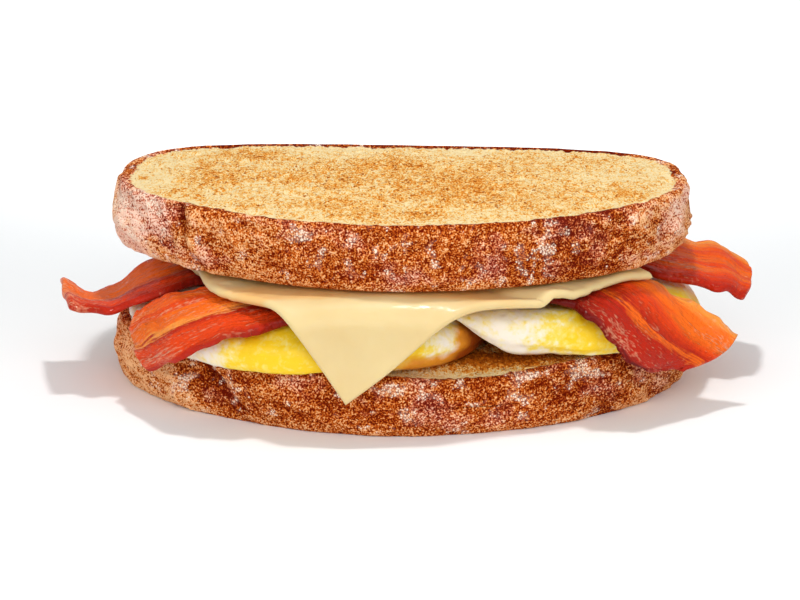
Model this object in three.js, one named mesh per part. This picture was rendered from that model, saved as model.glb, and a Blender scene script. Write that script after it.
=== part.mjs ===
// A toasted breakfast sandwich: two slices of country bread, two folded egg patties, four half rashers of
// bacon and one square slice of white cheese whose corner hangs down over the front.
// Millimetres, +Z up. The foot of the bottom slice lies on z = 0, and the front of the loaf slice faces -Y.
import * as THREE from "three";

// ---------------------------------------------------------------------------------------------------------
// Driving sizes
// ---------------------------------------------------------------------------------------------------------

const REST_GAP = 0.4; // air left between two pieces that rest on each other
const SLICE_THICK = 15.5; // one slice of bread
const TOP_SLICE_FOOT = 34.4; // height of the top slice's lower face
const EGG_THICK = 10.8; // a folded egg patty, away from its rounded edge
const RASHER_THICK = 2.2; // a cooked half rasher, at its middle

// The outline of a slice: the loaf's domed crust faces the front, and its flatter base faces the back.
const LOAF = { halfWidth: 70, front: 47.6, back: 36.2, frontPower: 1.8, backPower: 3.7 };

const BOTTOM_SLICE = {
  turn: -1.5, // degrees about z
  at: [0.6, 0],
  foot: 0,
  scale: 1.012,
  // Marks in the crust: where along the front (x, y), how high up, how wide and tall, and how far out.
  marks: [
    { x: -44, y: -33, z: 8.5, wide: 5, tall: 6, out: -2.6, lean: 0.9 },
    { x: -52, y: -27, z: 6, wide: 5, tall: 7, out: 1.3, lean: 0.4 },
    { x: -30, y: -41, z: 8, wide: 7, tall: 2.2, out: 1.1, lean: 0.55 },
    { x: 30, y: -41, z: 6, wide: 12, tall: 4, out: 0.6, lean: 0 },
    { x: -67, y: -10, z: 8, wide: 12, tall: 6, out: 1.1, lean: 0 },
    { x: 5, y: 36, z: 7, wide: 26, tall: 5, out: -0.8, lean: 0 },
  ],
};

const TOP_SLICE = {
  turn: -4,
  at: [0.2, 0.3],
  foot: TOP_SLICE_FOOT,
  scale: 1.0,
  marks: [
    { x: -50.5, y: -28, z: 6.5, wide: 2.2, tall: 9, out: -1.9, lean: -0.32 },
    { x: -46, y: -32, z: 6.5, wide: 3.6, tall: 7, out: 1.4, lean: -0.3 },
    { x: -64, y: -16, z: 6, wide: 10, tall: 5.5, out: 2.2, lean: 0 },
    { x: 64, y: -16, z: 7.5, wide: 2.4, tall: 6, out: -1.5, lean: -0.5 },
    { x: 57, y: -24, z: 10, wide: 5, tall: 4, out: 1.0, lean: -0.4 },
    { x: -8, y: 36, z: 8, wide: 30, tall: 5, out: -0.7, lean: 0 },
  ],
};

// The two egg patties. The right one laps over the end of the left one.
const EGG_FOOT = SLICE_THICK + REST_GAP;
// `corners` are the superellipse powers of the outline at its front left, front right, back left, back right.
const LEFT_EGG = { x: -22, y: -9.2, halfWide: 44, halfDeep: 39.8, corners: [1.7, 3, 2.8, 3.2] };
const RIGHT_EGG = { x: 37.1, y: -3.9, halfWide: 36.9, halfDeep: 36.2, corners: [4.4, 1.95, 3, 2.6] };
const RIGHT_EGG_EXTRA = 1.2; // the right patty is this much thicker
const LAP_THICK = 1.6; // its thin end, where it lies on the left patty
const LAP_GAP = 1; // height between the two there, before the corner between them is rounded
const EGG_ROUND = 0.14; // share of the half width that the rounded side takes
// Where the tops of the patties slope down towards their ends, from one x to the other.
const LEFT_EGG_SLOPES = [{ from: 2, to: 20, drop: 3 }, { from: -48, to: -66, drop: 3.6 }];
const RIGHT_EGG_SLOPES = [{ from: 50, to: 74, drop: 4.6 }];
const EGG_SAG = { most: 3.6, within: 5.5 }; // how far an edge past the bread sinks, and within what reach

// Half rashers. `near` and `far` are the two long edges, front and back, from the end inside the sandwich to
// the free end; a height of null lies on what is below. `section` lifts the rasher's middle surface along its
// own normal, from the near edge to the far one, and `tip` lets the free end bulge out at its middle.
const RASHERS = [
  {
    name: "bacon_left_back",
    near: [
      [-3, -5, null], [-26, -8, null], [-45, -16, null], [-56, -21, 26.9],
      [-64, -21.5, 23.8], [-71.5, -20.5, 21.8], [-79, -19, 22.8],
    ],
    far: [
      [-3, 20, null], [-26, 18, null], [-45, 12, null], [-60, 6, 27.8],
      [-69, 5, 22.2], [-76.5, 5, 18.4], [-85, 4.5, 22.4],
    ],
    section: [0, 0.5, -0.4, 0.5, 0],
    tip: 0.5,
    ripple: 0.35,
    waves: 5,
  },
  {
    name: "bacon_left_front",
    near: [
      [-3, -35, null], [-16, -40, 28.8], [-28, -46.4, 26.4],
      [-40, -47.4, 23.7], [-50, -43.5, 18], [-58.5, -33.5, 11.2],
    ],
    far: [
      [-3, -12, null], [-18, -15, null], [-34, -22.5, null],
      [-47, -26, 29], [-56, -24.2, 26.2], [-62.5, -20.5, 21.6],
    ],
    section: [0, 0.9, 0.3, 1, 0],
    tip: 2.5,
    ripple: 0.3,
    waves: 4,
  },
  {
    name: "bacon_right_front",
    near: [
      [14, -30, null], [26, -34.5, null], [36, -38.6, 30], [42.5, -42, 27.6],
      [47.5, -43.4, 22.6], [52.5, -42.2, 16.6], [58, -37.5, 12.6],
    ],
    far: [
      [14, 2, null], [30, -3, null], [46, -10, null], [58, -16, 28.2],
      [65, -20, 25.6], [73, -23.4, 22.6], [80, -24.4, 17.6],
    ],
    section: [0, 1.3, -0.4, -1.7, 0.6],
    tip: 3,
    ripple: 0.35,
    waves: 4,
  },
  {
    name: "bacon_right_back",
    near: [
      [12, 4, null], [28, 2, null], [48, -3, null], [63, -8, 27],
      [72, -9, 25.2], [79, -8, 23.4], [84.5, -6, 20.8],
    ],
    far: [
      [12, 30, null], [28, 29, null], [48, 26, null], [64, 22.5, 29.2],
      [75, 20, 27.7], [82, 19, 26.6], [88, 17, 22.8],
    ],
    section: [0, 0.9, 0.4, 0.9, 0],
    tip: 1.5,
    ripple: 0.35,
    waves: 5,
  },
];
const RASHER_CLEAR = 1.95; // least distance of its middle surface from the eggs
const RASHER_RAGGED = 0.45; // the long edges wander in and out by this much
const RASHER_GRID = { along: 32, across: 6 };

// The cheese, laid out flat: the fold is the line q = 0, the part with q < 0 hangs down in front.
const CHEESE = {
  grid: 28,
  thick: 2,
  tip: [-12.2, -23.9],
  right: [59.5, 22],
  left: [-55.5, 40],
  back: [16, 84.5],
  // How far the melted edges flow out of the straight, and where along them from the tip, 0 to 1.
  rightFlow: [{ out: -3, at: 0.36, wide: 0.18 }, { out: 3.2, at: 0.7, wide: 0.16 }],
  leftFlow: [{ out: 6, at: 0.6, wide: 0.18 }],
  foldY: -44.7,
  foldRadius: 6.3,
  hangAngle: 84, // degrees that the sheet turns down through at the fold
  least: 29.3, // height of its middle where it spans between the things below
  crown: { x: 3, wide: 25, rise: 2.1 }, // it stands higher in front, where it clings to the bread above
};

// ---------------------------------------------------------------------------------------------------------
// Small functions
// ---------------------------------------------------------------------------------------------------------

const clamp01 = (t) => Math.min(1, Math.max(0, t));
const smooth = (from, to, t) => {
  const s = clamp01((t - from) / (to - from));
  return s * s * (3 - 2 * s);
};
const lerp = (a, b, t) => a + (b - a) * t;
// The larger of two heights, with the corner between them rounded over about `soft` mm.
const softMax = (a, b, soft) => {
  const h = Math.max(soft - Math.abs(a - b), 0) / soft;
  return Math.max(a, b) + h * h * soft * 0.25;
};
const radians = (degrees) => (degrees * Math.PI) / 180;

// A closed body from rings of points: the first and last rings are single points, the rest have `sectors`.
function ringBody(sectors, rings) {
  const positions = [];
  rings.forEach((ring) => ring.forEach((p) => positions.push(...p)));
  const start = rings.map((_, k) => 1 + (k - 1) * sectors);
  start[0] = 0;
  const last = rings.length - 1;
  const index = [];
  for (let i = 0; i < sectors; i++) {
    const j = (i + 1) % sectors;
    index.push(0, start[1] + i, start[1] + j);
    for (let k = 1; k < last - 1; k++) {
      const [a, b, c, d] = [start[k] + i, start[k] + j, start[k + 1] + i, start[k + 1] + j];
      index.push(a, c, b, b, c, d);
    }
    index.push(start[last - 1] + j, start[last - 1] + i, start[last]);
  }
  return new THREE.BufferGeometry()
    .setAttribute("position", new THREE.Float32BufferAttribute(positions, 3))
    .setIndex(index);
}

// A closed sheet with a thickness: over(u, v) and under(u, v) give its two faces, u and v from 0 to 1.
// Both faces are split into triangles alike.
function sheetBody(columns, rows, over, under) {
  const positions = [];
  for (const face of [over, under])
    for (let j = 0; j <= rows; j++)
      for (let i = 0; i <= columns; i++) positions.push(...face(i / columns, j / rows));
  const at = (side, i, j) => (side * (rows + 1) + j) * (columns + 1) + i;
  const index = [];
  for (let j = 0; j < rows; j++)
    for (let i = 0; i < columns; i++) {
      const [a, b, c, d] = [at(0, i, j), at(0, i + 1, j), at(0, i, j + 1), at(0, i + 1, j + 1)];
      const under4 = [at(1, i, j), at(1, i + 1, j), at(1, i, j + 1), at(1, i + 1, j + 1)];
      index.push(a, b, d, a, d, c);
      index.push(under4[0], under4[3], under4[1], under4[0], under4[2], under4[3]);
    }
  const edge = [];
  for (let i = 0; i < columns; i++) edge.push([i, 0, i + 1, 0], [i + 1, rows, i, rows]);
  for (let j = 0; j < rows; j++) edge.push([columns, j, columns, j + 1], [0, j + 1, 0, j]);
  for (const [i0, j0, i1, j1] of edge) {
    const [a, b, c, d] = [at(0, i0, j0), at(0, i1, j1), at(1, i0, j0), at(1, i1, j1)];
    index.push(a, c, b, b, c, d);
  }
  return new THREE.BufferGeometry()
    .setAttribute("position", new THREE.Float32BufferAttribute(positions, 3))
    .setIndex(index);
}

// A smooth curve through a few values, read at u from 0 to 1.
function valueCurve(values) {
  const curve = new THREE.CatmullRomCurve3(
    values.map((v, i) => new THREE.Vector3(i / (values.length - 1), v, 0)),
    false,
    "catmullrom",
    0.5,
  );
  return (u) => curve.getPoint(u).y;
}

// ---------------------------------------------------------------------------------------------------------
// Bread
// ---------------------------------------------------------------------------------------------------------

// The slice's outline, a superellipse whose front and back halves have their own depth and power.
function loafOutline(angle) {
  const [c, s] = [Math.cos(angle), Math.sin(angle)];
  const power = s < 0 ? LOAF.frontPower : LOAF.backPower;
  const depth = s < 0 ? LOAF.front : LOAF.back;
  return [
    LOAF.halfWidth * Math.sign(c) * Math.abs(c) ** (2 / power),
    depth * Math.sign(s) * Math.abs(s) ** (2 / power),
  ];
}

// 1 on the slice's outline, 0 at its middle.
function loafShare(x, y) {
  const power = y < 0 ? LOAF.frontPower : LOAF.backPower;
  const depth = y < 0 ? LOAF.front : LOAF.back;
  return (Math.abs(x / LOAF.halfWidth) ** power + Math.abs(y / depth) ** power) ** (1 / power);
}

// How far the crust stands out of the plain wall at a place on the outline.
function crustRelief(marks, x, y, z) {
  const broad = 0.35 * Math.sin(x * 0.21 + z * 0.5) * Math.cos(y * 0.17 - z * 0.3);
  const fine = 0.2 * Math.sin(x * 0.47 - z * 0.9 + y * 0.3);
  let out = broad + fine;
  for (const m of marks) {
    const along = Math.hypot(x - m.x, y - m.y) * Math.sign(x - m.x || 1) + (z - m.z) * m.lean;
    out += m.out * Math.exp(-((along / m.wide) ** 2) - ((z - m.z) / m.tall) ** 2);
  }
  return out;
}

const OUTLINE_STEPS = 720; // the outline is drawn this finely before it is shared out evenly
const SLICE_SECTORS = 96;
// Each ring of a slice: how far in from the wall in mm (or the share of the radius for the inner rings) and
// how high. The wall bulges by a millimetre between two cut edges.
const SLICE_RINGS = [
  { share: 0.7, z: SLICE_THICK },
  { inset: 1.9, z: SLICE_THICK },
  { inset: 0.75, z: SLICE_THICK - 0.7 },
  { inset: 0.1, z: 11.2 },
  { inset: -0.3, z: 7.6 },
  { inset: 0.2, z: 3.6 },
  { inset: 1.3, z: 0.8 },
  { inset: 2.2, z: 0 },
  { share: 0.6, z: 0 },
];

function sliceBody({ turn, at, foot, scale, marks }) {
  const turns = Array.from({ length: OUTLINE_STEPS }, (_, i) => (i / OUTLINE_STEPS) * 2 * Math.PI);
  const outline = new THREE.CatmullRomCurve3(turns.map((t) => new THREE.Vector3(...loafOutline(t), 0)), true);
  outline.arcLengthDivisions = 2 * OUTLINE_STEPS;
  const places = outline.getSpacedPoints(SLICE_SECTORS).slice(0, SLICE_SECTORS);
  const [c, s] = [Math.cos(radians(turn)), Math.sin(radians(turn))];
  const place = (x, y, z) => [at[0] + scale * (x * c - y * s), at[1] + scale * (x * s + y * c), foot + z];
  const rings = SLICE_RINGS.map(({ share, inset, z }) =>
    places.map((p, i) => {
      if (share !== undefined) return place(p.x * share, p.y * share, z);
      const before = places[(i + SLICE_SECTORS - 1) % SLICE_SECTORS];
      const after = places[(i + 1) % SLICE_SECTORS];
      const tangent = after.clone().sub(before).normalize();
      const fade = z === 0 || z === SLICE_THICK ? 0.5 : 1;
      const out = fade * crustRelief(marks, p.x, p.y, z) - inset;
      return place(p.x + tangent.y * out, p.y - tangent.x * out, z);
    }),
  );
  return ringBody(SLICE_SECTORS, [[place(0, 0, SLICE_THICK - 0.2)], ...rings, [place(0, 0, 0)]]);
}

const EDGE_SHARE = 0.978; // where the slice's top face rounds over into its side

// How far outside the bottom slice's top edge a place is, in mm; 0 over the slice.
function pastBottomSlice(x, y) {
  const { turn, at, scale } = BOTTOM_SLICE;
  const [c, s] = [Math.cos(radians(turn)), Math.sin(radians(turn))];
  const [dx, dy] = [(x - at[0]) / scale, (y - at[1]) / scale];
  const share = loafShare(dx * c + dy * s, -dx * s + dy * c);
  return Math.max(0, 1 - EDGE_SHARE / Math.max(share, EDGE_SHARE)) * Math.hypot(x, y);
}

// ---------------------------------------------------------------------------------------------------------
// Eggs
// ---------------------------------------------------------------------------------------------------------

const cornerPower = (egg, right, back) => egg.corners[(back ? 2 : 0) + (right ? 1 : 0)];

// 1 on the patty's outline, 0 at its middle; `grown` makes the patty larger all round by as many mm.
function eggShare(egg, x, y, grown = 0) {
  const [dx, dy] = [x - egg.x, y - egg.y];
  const power = cornerPower(egg, dx > 0, dy > 0);
  const wide = Math.abs(dx) / (egg.halfWide + grown);
  const deep = Math.abs(dy) / (egg.halfDeep + grown);
  return (wide ** power + deep ** power) ** (1 / power);
}

const eggSag = (x, y) => {
  const reach = pastBottomSlice(x, y) / EGG_SAG.within;
  return EGG_SAG.most * (1 - Math.exp(-(reach ** 1.3)));
};
const eggSwell = (x, y) => 0.5 * Math.sin(x * 0.11 + 0.8) * Math.cos(y * 0.13 - 0.4);

const leftEggUnder = (x, y) => EGG_FOOT - eggSag(x, y);
const slopeDown = (slopes, x) =>
  slopes.reduce((sum, { from, to, drop }) => sum + drop * smooth(from, to, x), 0);
const leftEggOver = (x, y) =>
  EGG_FOOT + EGG_THICK + eggSwell(x, y) - slopeDown(LEFT_EGG_SLOPES, x) - eggSag(x, y);

// A rounded step that stands over the left patty and falls to the bread outside it.
function overLeftEgg(x, y) {
  const inside = smooth(1.24, 0.88, eggShare(LEFT_EGG, x, y));
  return lerp(EGG_FOOT - 2, leftEggOver(x, y), inside);
}

const rightEggUnder = (x, y) => softMax(EGG_FOOT - eggSag(x, y), overLeftEgg(x, y) + LAP_GAP, 1.5);
function rightEggOver(x, y) {
  const swell = RIGHT_EGG_EXTRA + 0.6 * eggSwell(x + 30, y);
  const flat = EGG_FOOT + EGG_THICK + swell - slopeDown(RIGHT_EGG_SLOPES, x) - eggSag(x, y);
  return softMax(flat, rightEggUnder(x, y) + LAP_THICK, 1.5);
}

const EGG_SECTORS = 60;
// Directions around the rounded side in degrees, from the top face to the bottom one, and the shares of the
// outline that the rings on those two faces take.
const EGG_ANGLES = [90, 55, 22, -8, -38, -66, -90];
const EGG_TOP_SHARES = [0.25, 0.5, 0.7];
const EGG_UNDER_SHARES = [0.79, 0.7, 0.55, 0.35];

function eggBody({ egg, over, under }) {
  const place = (angle, share, lift) => {
    const [c, s] = [Math.cos(angle), Math.sin(angle)];
    const power = cornerPower(egg, c > 0, s > 0);
    const x = egg.x + share * egg.halfWide * Math.sign(c) * Math.abs(c) ** (2 / power);
    const y = egg.y + share * egg.halfDeep * Math.sign(s) * Math.abs(s) ** (2 / power);
    return [x, y, lerp(under(x, y), over(x, y), lift)];
  };
  const around = EGG_ANGLES.map((degrees) => ({
    share: 1 - EGG_ROUND * (1 - Math.cos(radians(degrees))),
    lift: (1 + Math.sin(radians(degrees))) / 2,
  }));
  const levels = [...EGG_TOP_SHARES.map((share) => ({ share, lift: 1 })), ...around];
  levels.push(...EGG_UNDER_SHARES.map((share) => ({ share, lift: 0 })));
  const rings = levels.map(({ share, lift }) =>
    Array.from({ length: EGG_SECTORS }, (_, i) => place((i / EGG_SECTORS) * 2 * Math.PI, share, lift)),
  );
  return ringBody(EGG_SECTORS, [[place(0, 0, 1)], ...rings, [place(0, 0, 0)]]);
}

const PATTIES = [
  { egg: LEFT_EGG, over: leftEggOver, under: leftEggUnder },
  { egg: RIGHT_EGG, over: rightEggOver, under: rightEggUnder },
];

// The top of the egg layer, as a rounded height that falls away outside both patties.
function eggLayer(x, y) {
  const heights = PATTIES.map(({ egg, over }) => over(x, y) * smooth(1.26, 1.02, eggShare(egg, x, y)));
  return softMax(heights[0], heights[1], 2.5);
}

// Moves a point that is nearer than `clear` mm to a patty off it: up from its top and its upper round, and
// outwards from below the middle of its side.
function keepOffEggs(p, clear) {
  for (const { egg, over, under } of PATTIES) {
    const share = eggShare(egg, p.x, p.y, clear);
    if (share >= 1) continue;
    const middle = (over(p.x, p.y) + under(p.x, p.y)) / 2;
    const round = (EGG_ROUND * egg.halfWide + clear) / (egg.halfWide + clear);
    const into = Math.max(0, (share - 1 + round) / round);
    const top = middle + (over(p.x, p.y) - middle + clear) * Math.sqrt(1 - into * into);
    if (p.z >= middle || into === 0) {
      p.z = Math.max(p.z, top);
    } else {
      p.x = egg.x + (p.x - egg.x) / share;
      p.y = egg.y + (p.y - egg.y) / share;
    }
  }
  return p;
}

// ---------------------------------------------------------------------------------------------------------
// Bacon
// ---------------------------------------------------------------------------------------------------------

// A smooth curve through an edge's points, which lies on the eggs where a height is null.
function rasherEdge(points) {
  const rest = (x, y) => eggLayer(x, y) + REST_GAP + RASHER_THICK / 2;
  const places = points.map(([x, y, z]) => new THREE.Vector3(x, y, z ?? rest(x, y)));
  return new THREE.CatmullRomCurve3(places);
}

// A rasher's middle surface: u runs along it, 0 to 1, and v across it from the near edge to the far one.
function rasherSurface(rasher) {
  const near = rasherEdge(rasher.near);
  const far = rasherEdge(rasher.far);
  const section = valueCurve(rasher.section);
  const resting = (edge) => edge.filter((p) => p[2] === null).length - 1;
  const lies = Math.min(resting(rasher.near), resting(rasher.far)) / (rasher.near.length - 1);
  return (u, v) => {
    const [a, b] = [near.getPoint(u), far.getPoint(u)];
    const across = b.clone().sub(a).normalize();
    const along = near.getTangent(u).lerp(far.getTangent(u), v).normalize();
    const up = new THREE.Vector3().crossVectors(along, across).normalize();
    if (up.z < 0) up.negate();
    const free = smooth(lies, lies + 0.5, u);
    const ragged = RASHER_RAGGED * (Math.sin(41 * u + 9 * v) + Math.sin(23 * u + 2));
    const wave = rasher.ripple * Math.sin(2 * Math.PI * rasher.waves * u + 2.5 * v) * lerp(0.25, 1, free);
    const bulge = rasher.tip * (1 - (2 * v - 1) ** 2) * smooth(0.6, 1, u);
    const p = a.lerp(b, v);
    p.addScaledVector(across, ragged * (2 * v - 1) ** 3).addScaledVector(along, bulge);
    p.addScaledVector(up, wave + section(v) * free);
    return keepOffEggs(p, RASHER_CLEAR);
  };
}

function rasherBody(rasher) {
  const middle = rasherSurface(rasher);
  const step = 0.01;
  const leftward = rasher.near[0][0] > rasher.near[1][0];
  const face = (side) => (w, v) => {
    const u = leftward ? 1 - w : w;
    const p = middle(u, v);
    const along = middle(Math.min(1, u + step), v).sub(middle(Math.max(0, u - step), v));
    const across = middle(u, Math.min(1, v + step)).sub(middle(u, Math.max(0, v - step)));
    const normal = across.cross(along).normalize();
    if (normal.z < 0) normal.negate();
    const thin = 0.5 + 0.5 * Math.sqrt(Math.max(0, 1 - (2 * v - 1) ** 6));
    p.addScaledVector(normal, (side * thin * RASHER_THICK) / 2);
    return [p.x, p.y, p.z];
  };
  return sheetBody(RASHER_GRID.along, RASHER_GRID.across, face(1), face(-1));
}

// The rashers' height at a place, for what lies on top of them.
const rasherSamples = RASHERS.map((rasher) => {
  const middle = rasherSurface(rasher);
  const samples = [];
  for (let i = 0; i <= 40; i++) for (let j = 0; j <= 8; j++) samples.push(middle(i / 40, j / 8));
  return samples;
});

function fillingTop(x, y) {
  let top = eggLayer(x, y) + REST_GAP;
  for (const samples of rasherSamples) {
    let near = Infinity;
    let height = 0;
    for (const p of samples) {
      const d = Math.hypot(p.x - x, p.y - y);
      if (d < near) [near, height] = [d, p.z];
    }
    const covered = smooth(8, 3, near);
    if (covered > 0) top = softMax(top, lerp(top, height + RASHER_THICK / 2 + REST_GAP + 0.2, covered), 1.5);
  }
  return top;
}

// ---------------------------------------------------------------------------------------------------------
// Cheese
// ---------------------------------------------------------------------------------------------------------

// The flat place of the sheet's corner coordinates a and b, 0 to 1: a runs from the tip to the right corner,
// b from the tip to the left one.
function cheesePlace(a, b) {
  const { tip, right: rightEnd, left: leftEnd, back } = CHEESE;
  const mix = (k) => lerp(lerp(tip[k], rightEnd[k], a), lerp(leftEnd[k], back[k], a), b);
  const bump = (t) => (sum, { out, at, wide }) => sum + out * Math.exp(-(((t - at) / wide) ** 2));
  const right = CHEESE.rightFlow.reduce(bump(a), 0) * (1 - b) ** 2;
  const left = CHEESE.leftFlow.reduce(bump(b), 0) * (1 - a) ** 2;
  return [mix(0) + right * 0.53 - left * 0.82, mix(1) - right * 0.85 - left * 0.57];
}

// The sheet's least height: it rises at the crown, and sinks where it reaches past the eggs behind.
function cheeseLeast(x, y) {
  const { crown, least } = CHEESE;
  const past = Math.min(eggShare(LEFT_EGG, x, y), eggShare(RIGHT_EGG, x, y)) - 0.95;
  const sag = y < 0 ? 0 : Math.min(5, 18 * Math.max(0, past));
  return least - sag + crown.rise * Math.exp(-(((x - crown.x) / crown.wide) ** 2)) * smooth(-5, -38, y);
}

function cheeseMiddle(a, b) {
  const [p, q] = cheesePlace(a, b);
  const turnAt = radians(CHEESE.hangAngle);
  const bend = CHEESE.foldRadius;
  const lift = (y) => softMax(fillingTop(p, y) + CHEESE.thick / 2, cheeseLeast(p, y), 1.5);
  if (q >= 0) return new THREE.Vector3(p, CHEESE.foldY + q, lift(CHEESE.foldY + q));
  const crest = lift(CHEESE.foldY);
  const arc = Math.min(-q / bend, turnAt);
  const rest = Math.max(0, -q - bend * turnAt);
  return new THREE.Vector3(
    p,
    CHEESE.foldY - bend * Math.sin(arc) - rest * Math.cos(turnAt),
    crest - bend * (1 - Math.cos(arc)) - rest * Math.sin(turnAt),
  );
}

function cheeseBody() {
  const step = 0.01;
  const face = (side) => (a, b) => {
    const p = cheeseMiddle(a, b);
    const alongA = cheeseMiddle(Math.min(1, a + step), b).sub(cheeseMiddle(Math.max(0, a - step), b));
    const alongB = cheeseMiddle(a, Math.min(1, b + step)).sub(cheeseMiddle(a, Math.max(0, b - step)));
    p.addScaledVector(alongA.cross(alongB).normalize(), (side * CHEESE.thick) / 2);
    return [p.x, p.y, p.z];
  };
  return sheetBody(CHEESE.grid, CHEESE.grid, face(1), face(-1));
}

// ---------------------------------------------------------------------------------------------------------
// The sandwich
// ---------------------------------------------------------------------------------------------------------

const LOOKS = {
  crust: { color: 0xa9582c, roughness: 0.85, metalness: 0 },
  egg: { color: 0xf2dc7a, roughness: 0.45, metalness: 0 },
  bacon: { color: 0xb63a1c, roughness: 0.35, metalness: 0 },
  cheese: { color: 0xf1dca6, roughness: 0.35, metalness: 0 },
};

function addPiece(group, name, geometry, look) {
  geometry.computeVertexNormals();
  const mesh = new THREE.Mesh(geometry, new THREE.MeshStandardMaterial(LOOKS[look]));
  mesh.name = name;
  group.add(mesh);
}

const sandwich = new THREE.Group();
addPiece(sandwich, "bread_bottom", sliceBody(BOTTOM_SLICE), "crust");
addPiece(sandwich, "egg_left", eggBody(PATTIES[0]), "egg");
addPiece(sandwich, "egg_right", eggBody(PATTIES[1]), "egg");
for (const rasher of RASHERS) addPiece(sandwich, rasher.name, rasherBody(rasher), "bacon");
addPiece(sandwich, "cheese_slice", cheeseBody(), "cheese");
addPiece(sandwich, "bread_top", sliceBody(TOP_SLICE), "crust");

// The origin is the middle of the sandwich's footprint, on the ground.
const bounds = new THREE.Box3().setFromObject(sandwich);
const centre = bounds.getCenter(new THREE.Vector3());
sandwich.position.set(-centre.x, -centre.y, -bounds.min.z);

export default sandwich;
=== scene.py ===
"""A toasted breakfast sandwich: two slices of country bread, two folded egg patties, four half rashers
of bacon and a softened slice of white cheese. Each is a surface worked out from its solid's own sizes and
formulas, with the relief and the finish of the real food.

Shapes are in millimetres until they go into a mesh. They use the drawing's coordinates, in which the middle
of the footprint lies at CENTRE; +X runs along the slices, and the domed front of the loaf faces -Y.
"""

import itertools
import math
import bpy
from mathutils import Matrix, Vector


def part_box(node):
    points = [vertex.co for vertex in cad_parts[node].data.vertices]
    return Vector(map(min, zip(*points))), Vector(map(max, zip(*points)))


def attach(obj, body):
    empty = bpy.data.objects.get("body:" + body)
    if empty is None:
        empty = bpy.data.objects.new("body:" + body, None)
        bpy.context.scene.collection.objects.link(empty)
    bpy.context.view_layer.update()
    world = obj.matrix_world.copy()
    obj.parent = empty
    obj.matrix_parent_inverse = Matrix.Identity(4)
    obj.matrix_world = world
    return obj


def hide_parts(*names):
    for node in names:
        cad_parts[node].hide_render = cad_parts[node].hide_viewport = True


bl_info = {
    "name": "Breakfast Sandwich",
    "version": (1, 0, 0),
    "blender": (4, 5, 0),
    "location": "3D View > Sidebar > Sandwich",
    "description": "Builds a toasted sandwich of egg, bacon and cheese, and its studio stage",
    "category": "Add Mesh",
}

from functools import partial

import bpy
import numpy as np
from bpy.props import FloatProperty, FloatVectorProperty, PointerProperty
from mathutils import Vector

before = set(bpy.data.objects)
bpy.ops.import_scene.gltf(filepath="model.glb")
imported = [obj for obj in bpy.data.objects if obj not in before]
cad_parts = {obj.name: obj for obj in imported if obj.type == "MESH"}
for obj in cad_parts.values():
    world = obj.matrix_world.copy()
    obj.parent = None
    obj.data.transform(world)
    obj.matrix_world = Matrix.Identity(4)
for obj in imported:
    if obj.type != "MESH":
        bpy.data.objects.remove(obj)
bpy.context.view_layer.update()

# ---- Sizes, in millimetres ----

MM = 0.001
CENTRE = np.array([2.075, -6.621, 0.0])  # the footprint's middle in the drawing's coordinates

REST_GAP = 0.4  # air between two pieces that rest on each other
SLICE_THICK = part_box("bread_bottom")[1].z / MM
TOP_SLICE_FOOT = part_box("bread_top")[0].z / MM
EGG_THICK = 10.8
RASHER_THICK = 2.2

# The bottom slice's front edge dips, and the left patty, whose sag lies further left, dips with it.
EDGE_DIP = dict(x=16, wide=19, depth=1.9, reach=11, egg_left_by=9)
# The slice's half width, and in front and behind its half depth and its outline's power.
LOAF = dict(half_width=70, front=(47.6, 1.8), back=(36.2, 3.7))
# Marks in the crust: x, y and height of the middle, width, tallness, how far out, and lean.
# Browned spots of the cut face, one of which on the bottom slice is painted shade at the patties' foot: x, y,
# width, depth, and how much browner, or paler where negative.
# Floury spots of the crust: x and height of the middle, width, tallness, and how much flour.
# Creases of the front of the crust: their points, each an x and a height, then how wide and how far out.
# Rosy and pale: how much rosier and paler the crust is at its left and right ends. Flanks: how much paler
# it is on the left and on the right of its front.
BOTTOM_SLICE = dict(
    turn=-1.5, at=(0.6, 0), foot=0, scale=1.012, toasted=0.5, dips=1,
    rosy=(-0.25, 0.1), pale=(0.3, 0.02), flanks=(-0.12, -0.2),
    # The first spot darkens the crumb at the patties' foot as painted shade.
    browned_and_shaded=[(16, -33, 24, 4.5, 1.0), (16, -44.5, 24, 4, -0.65)],
    floury=[
        (-50, 6, 4, 6, 0.42), (-24, 13, 2, 1.2, 0.4), (-1.5, 12.2, 4, 1.8, 0.5), (7, 12, 2.5, 1.5, 0.5),
        (0.5, 6, 1.8, 1.6, 0.5), (10, 9, 1.5, 1.5, 0.45), (18.5, 9, 2, 1.3, 0.45), (27, 10.5, 2.5, 1.7, 0.5),
        (30.5, 14, 2, 1, 0.45), (42, 13, 5.5, 2.2, 0.5), (12, 7, 26, 8, 0.06), (60, 8, 10, 8, -0.12),
    ],
    creases=[
        ([(-45.5, 13), (-41, 8.5), (-37, 4)], 2.0, -0.9), ([(-34.7, 11.5), (-29, 9.5), (-23, 7)], 0.8, 0.5),
        ([(-36, 9.4), (-29, 7.4), (-22, 4.6)], 0.7, -0.6), ([(-27, 12.5), (-21, 10.5), (-15, 9.5)], 0.8, 0.4),
        ([(24, 12), (31, 9), (40, 8)], 0.8, -0.35),
    ],
    marks=[
        (-44, -33, 8.5, 5, 6, -2.6, 0.9), (-52, -27, 6, 5, 7, 1.3, 0.4), (-30, -41, 8, 7, 2.2, 1.1, 0.55),
        (30, -41, 6, 12, 4, 0.6, 0), (-67, -10, 8, 12, 6, 1.1, 0), (5, 36, 7, 26, 5, -0.8, 0),
    ],
)
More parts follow.
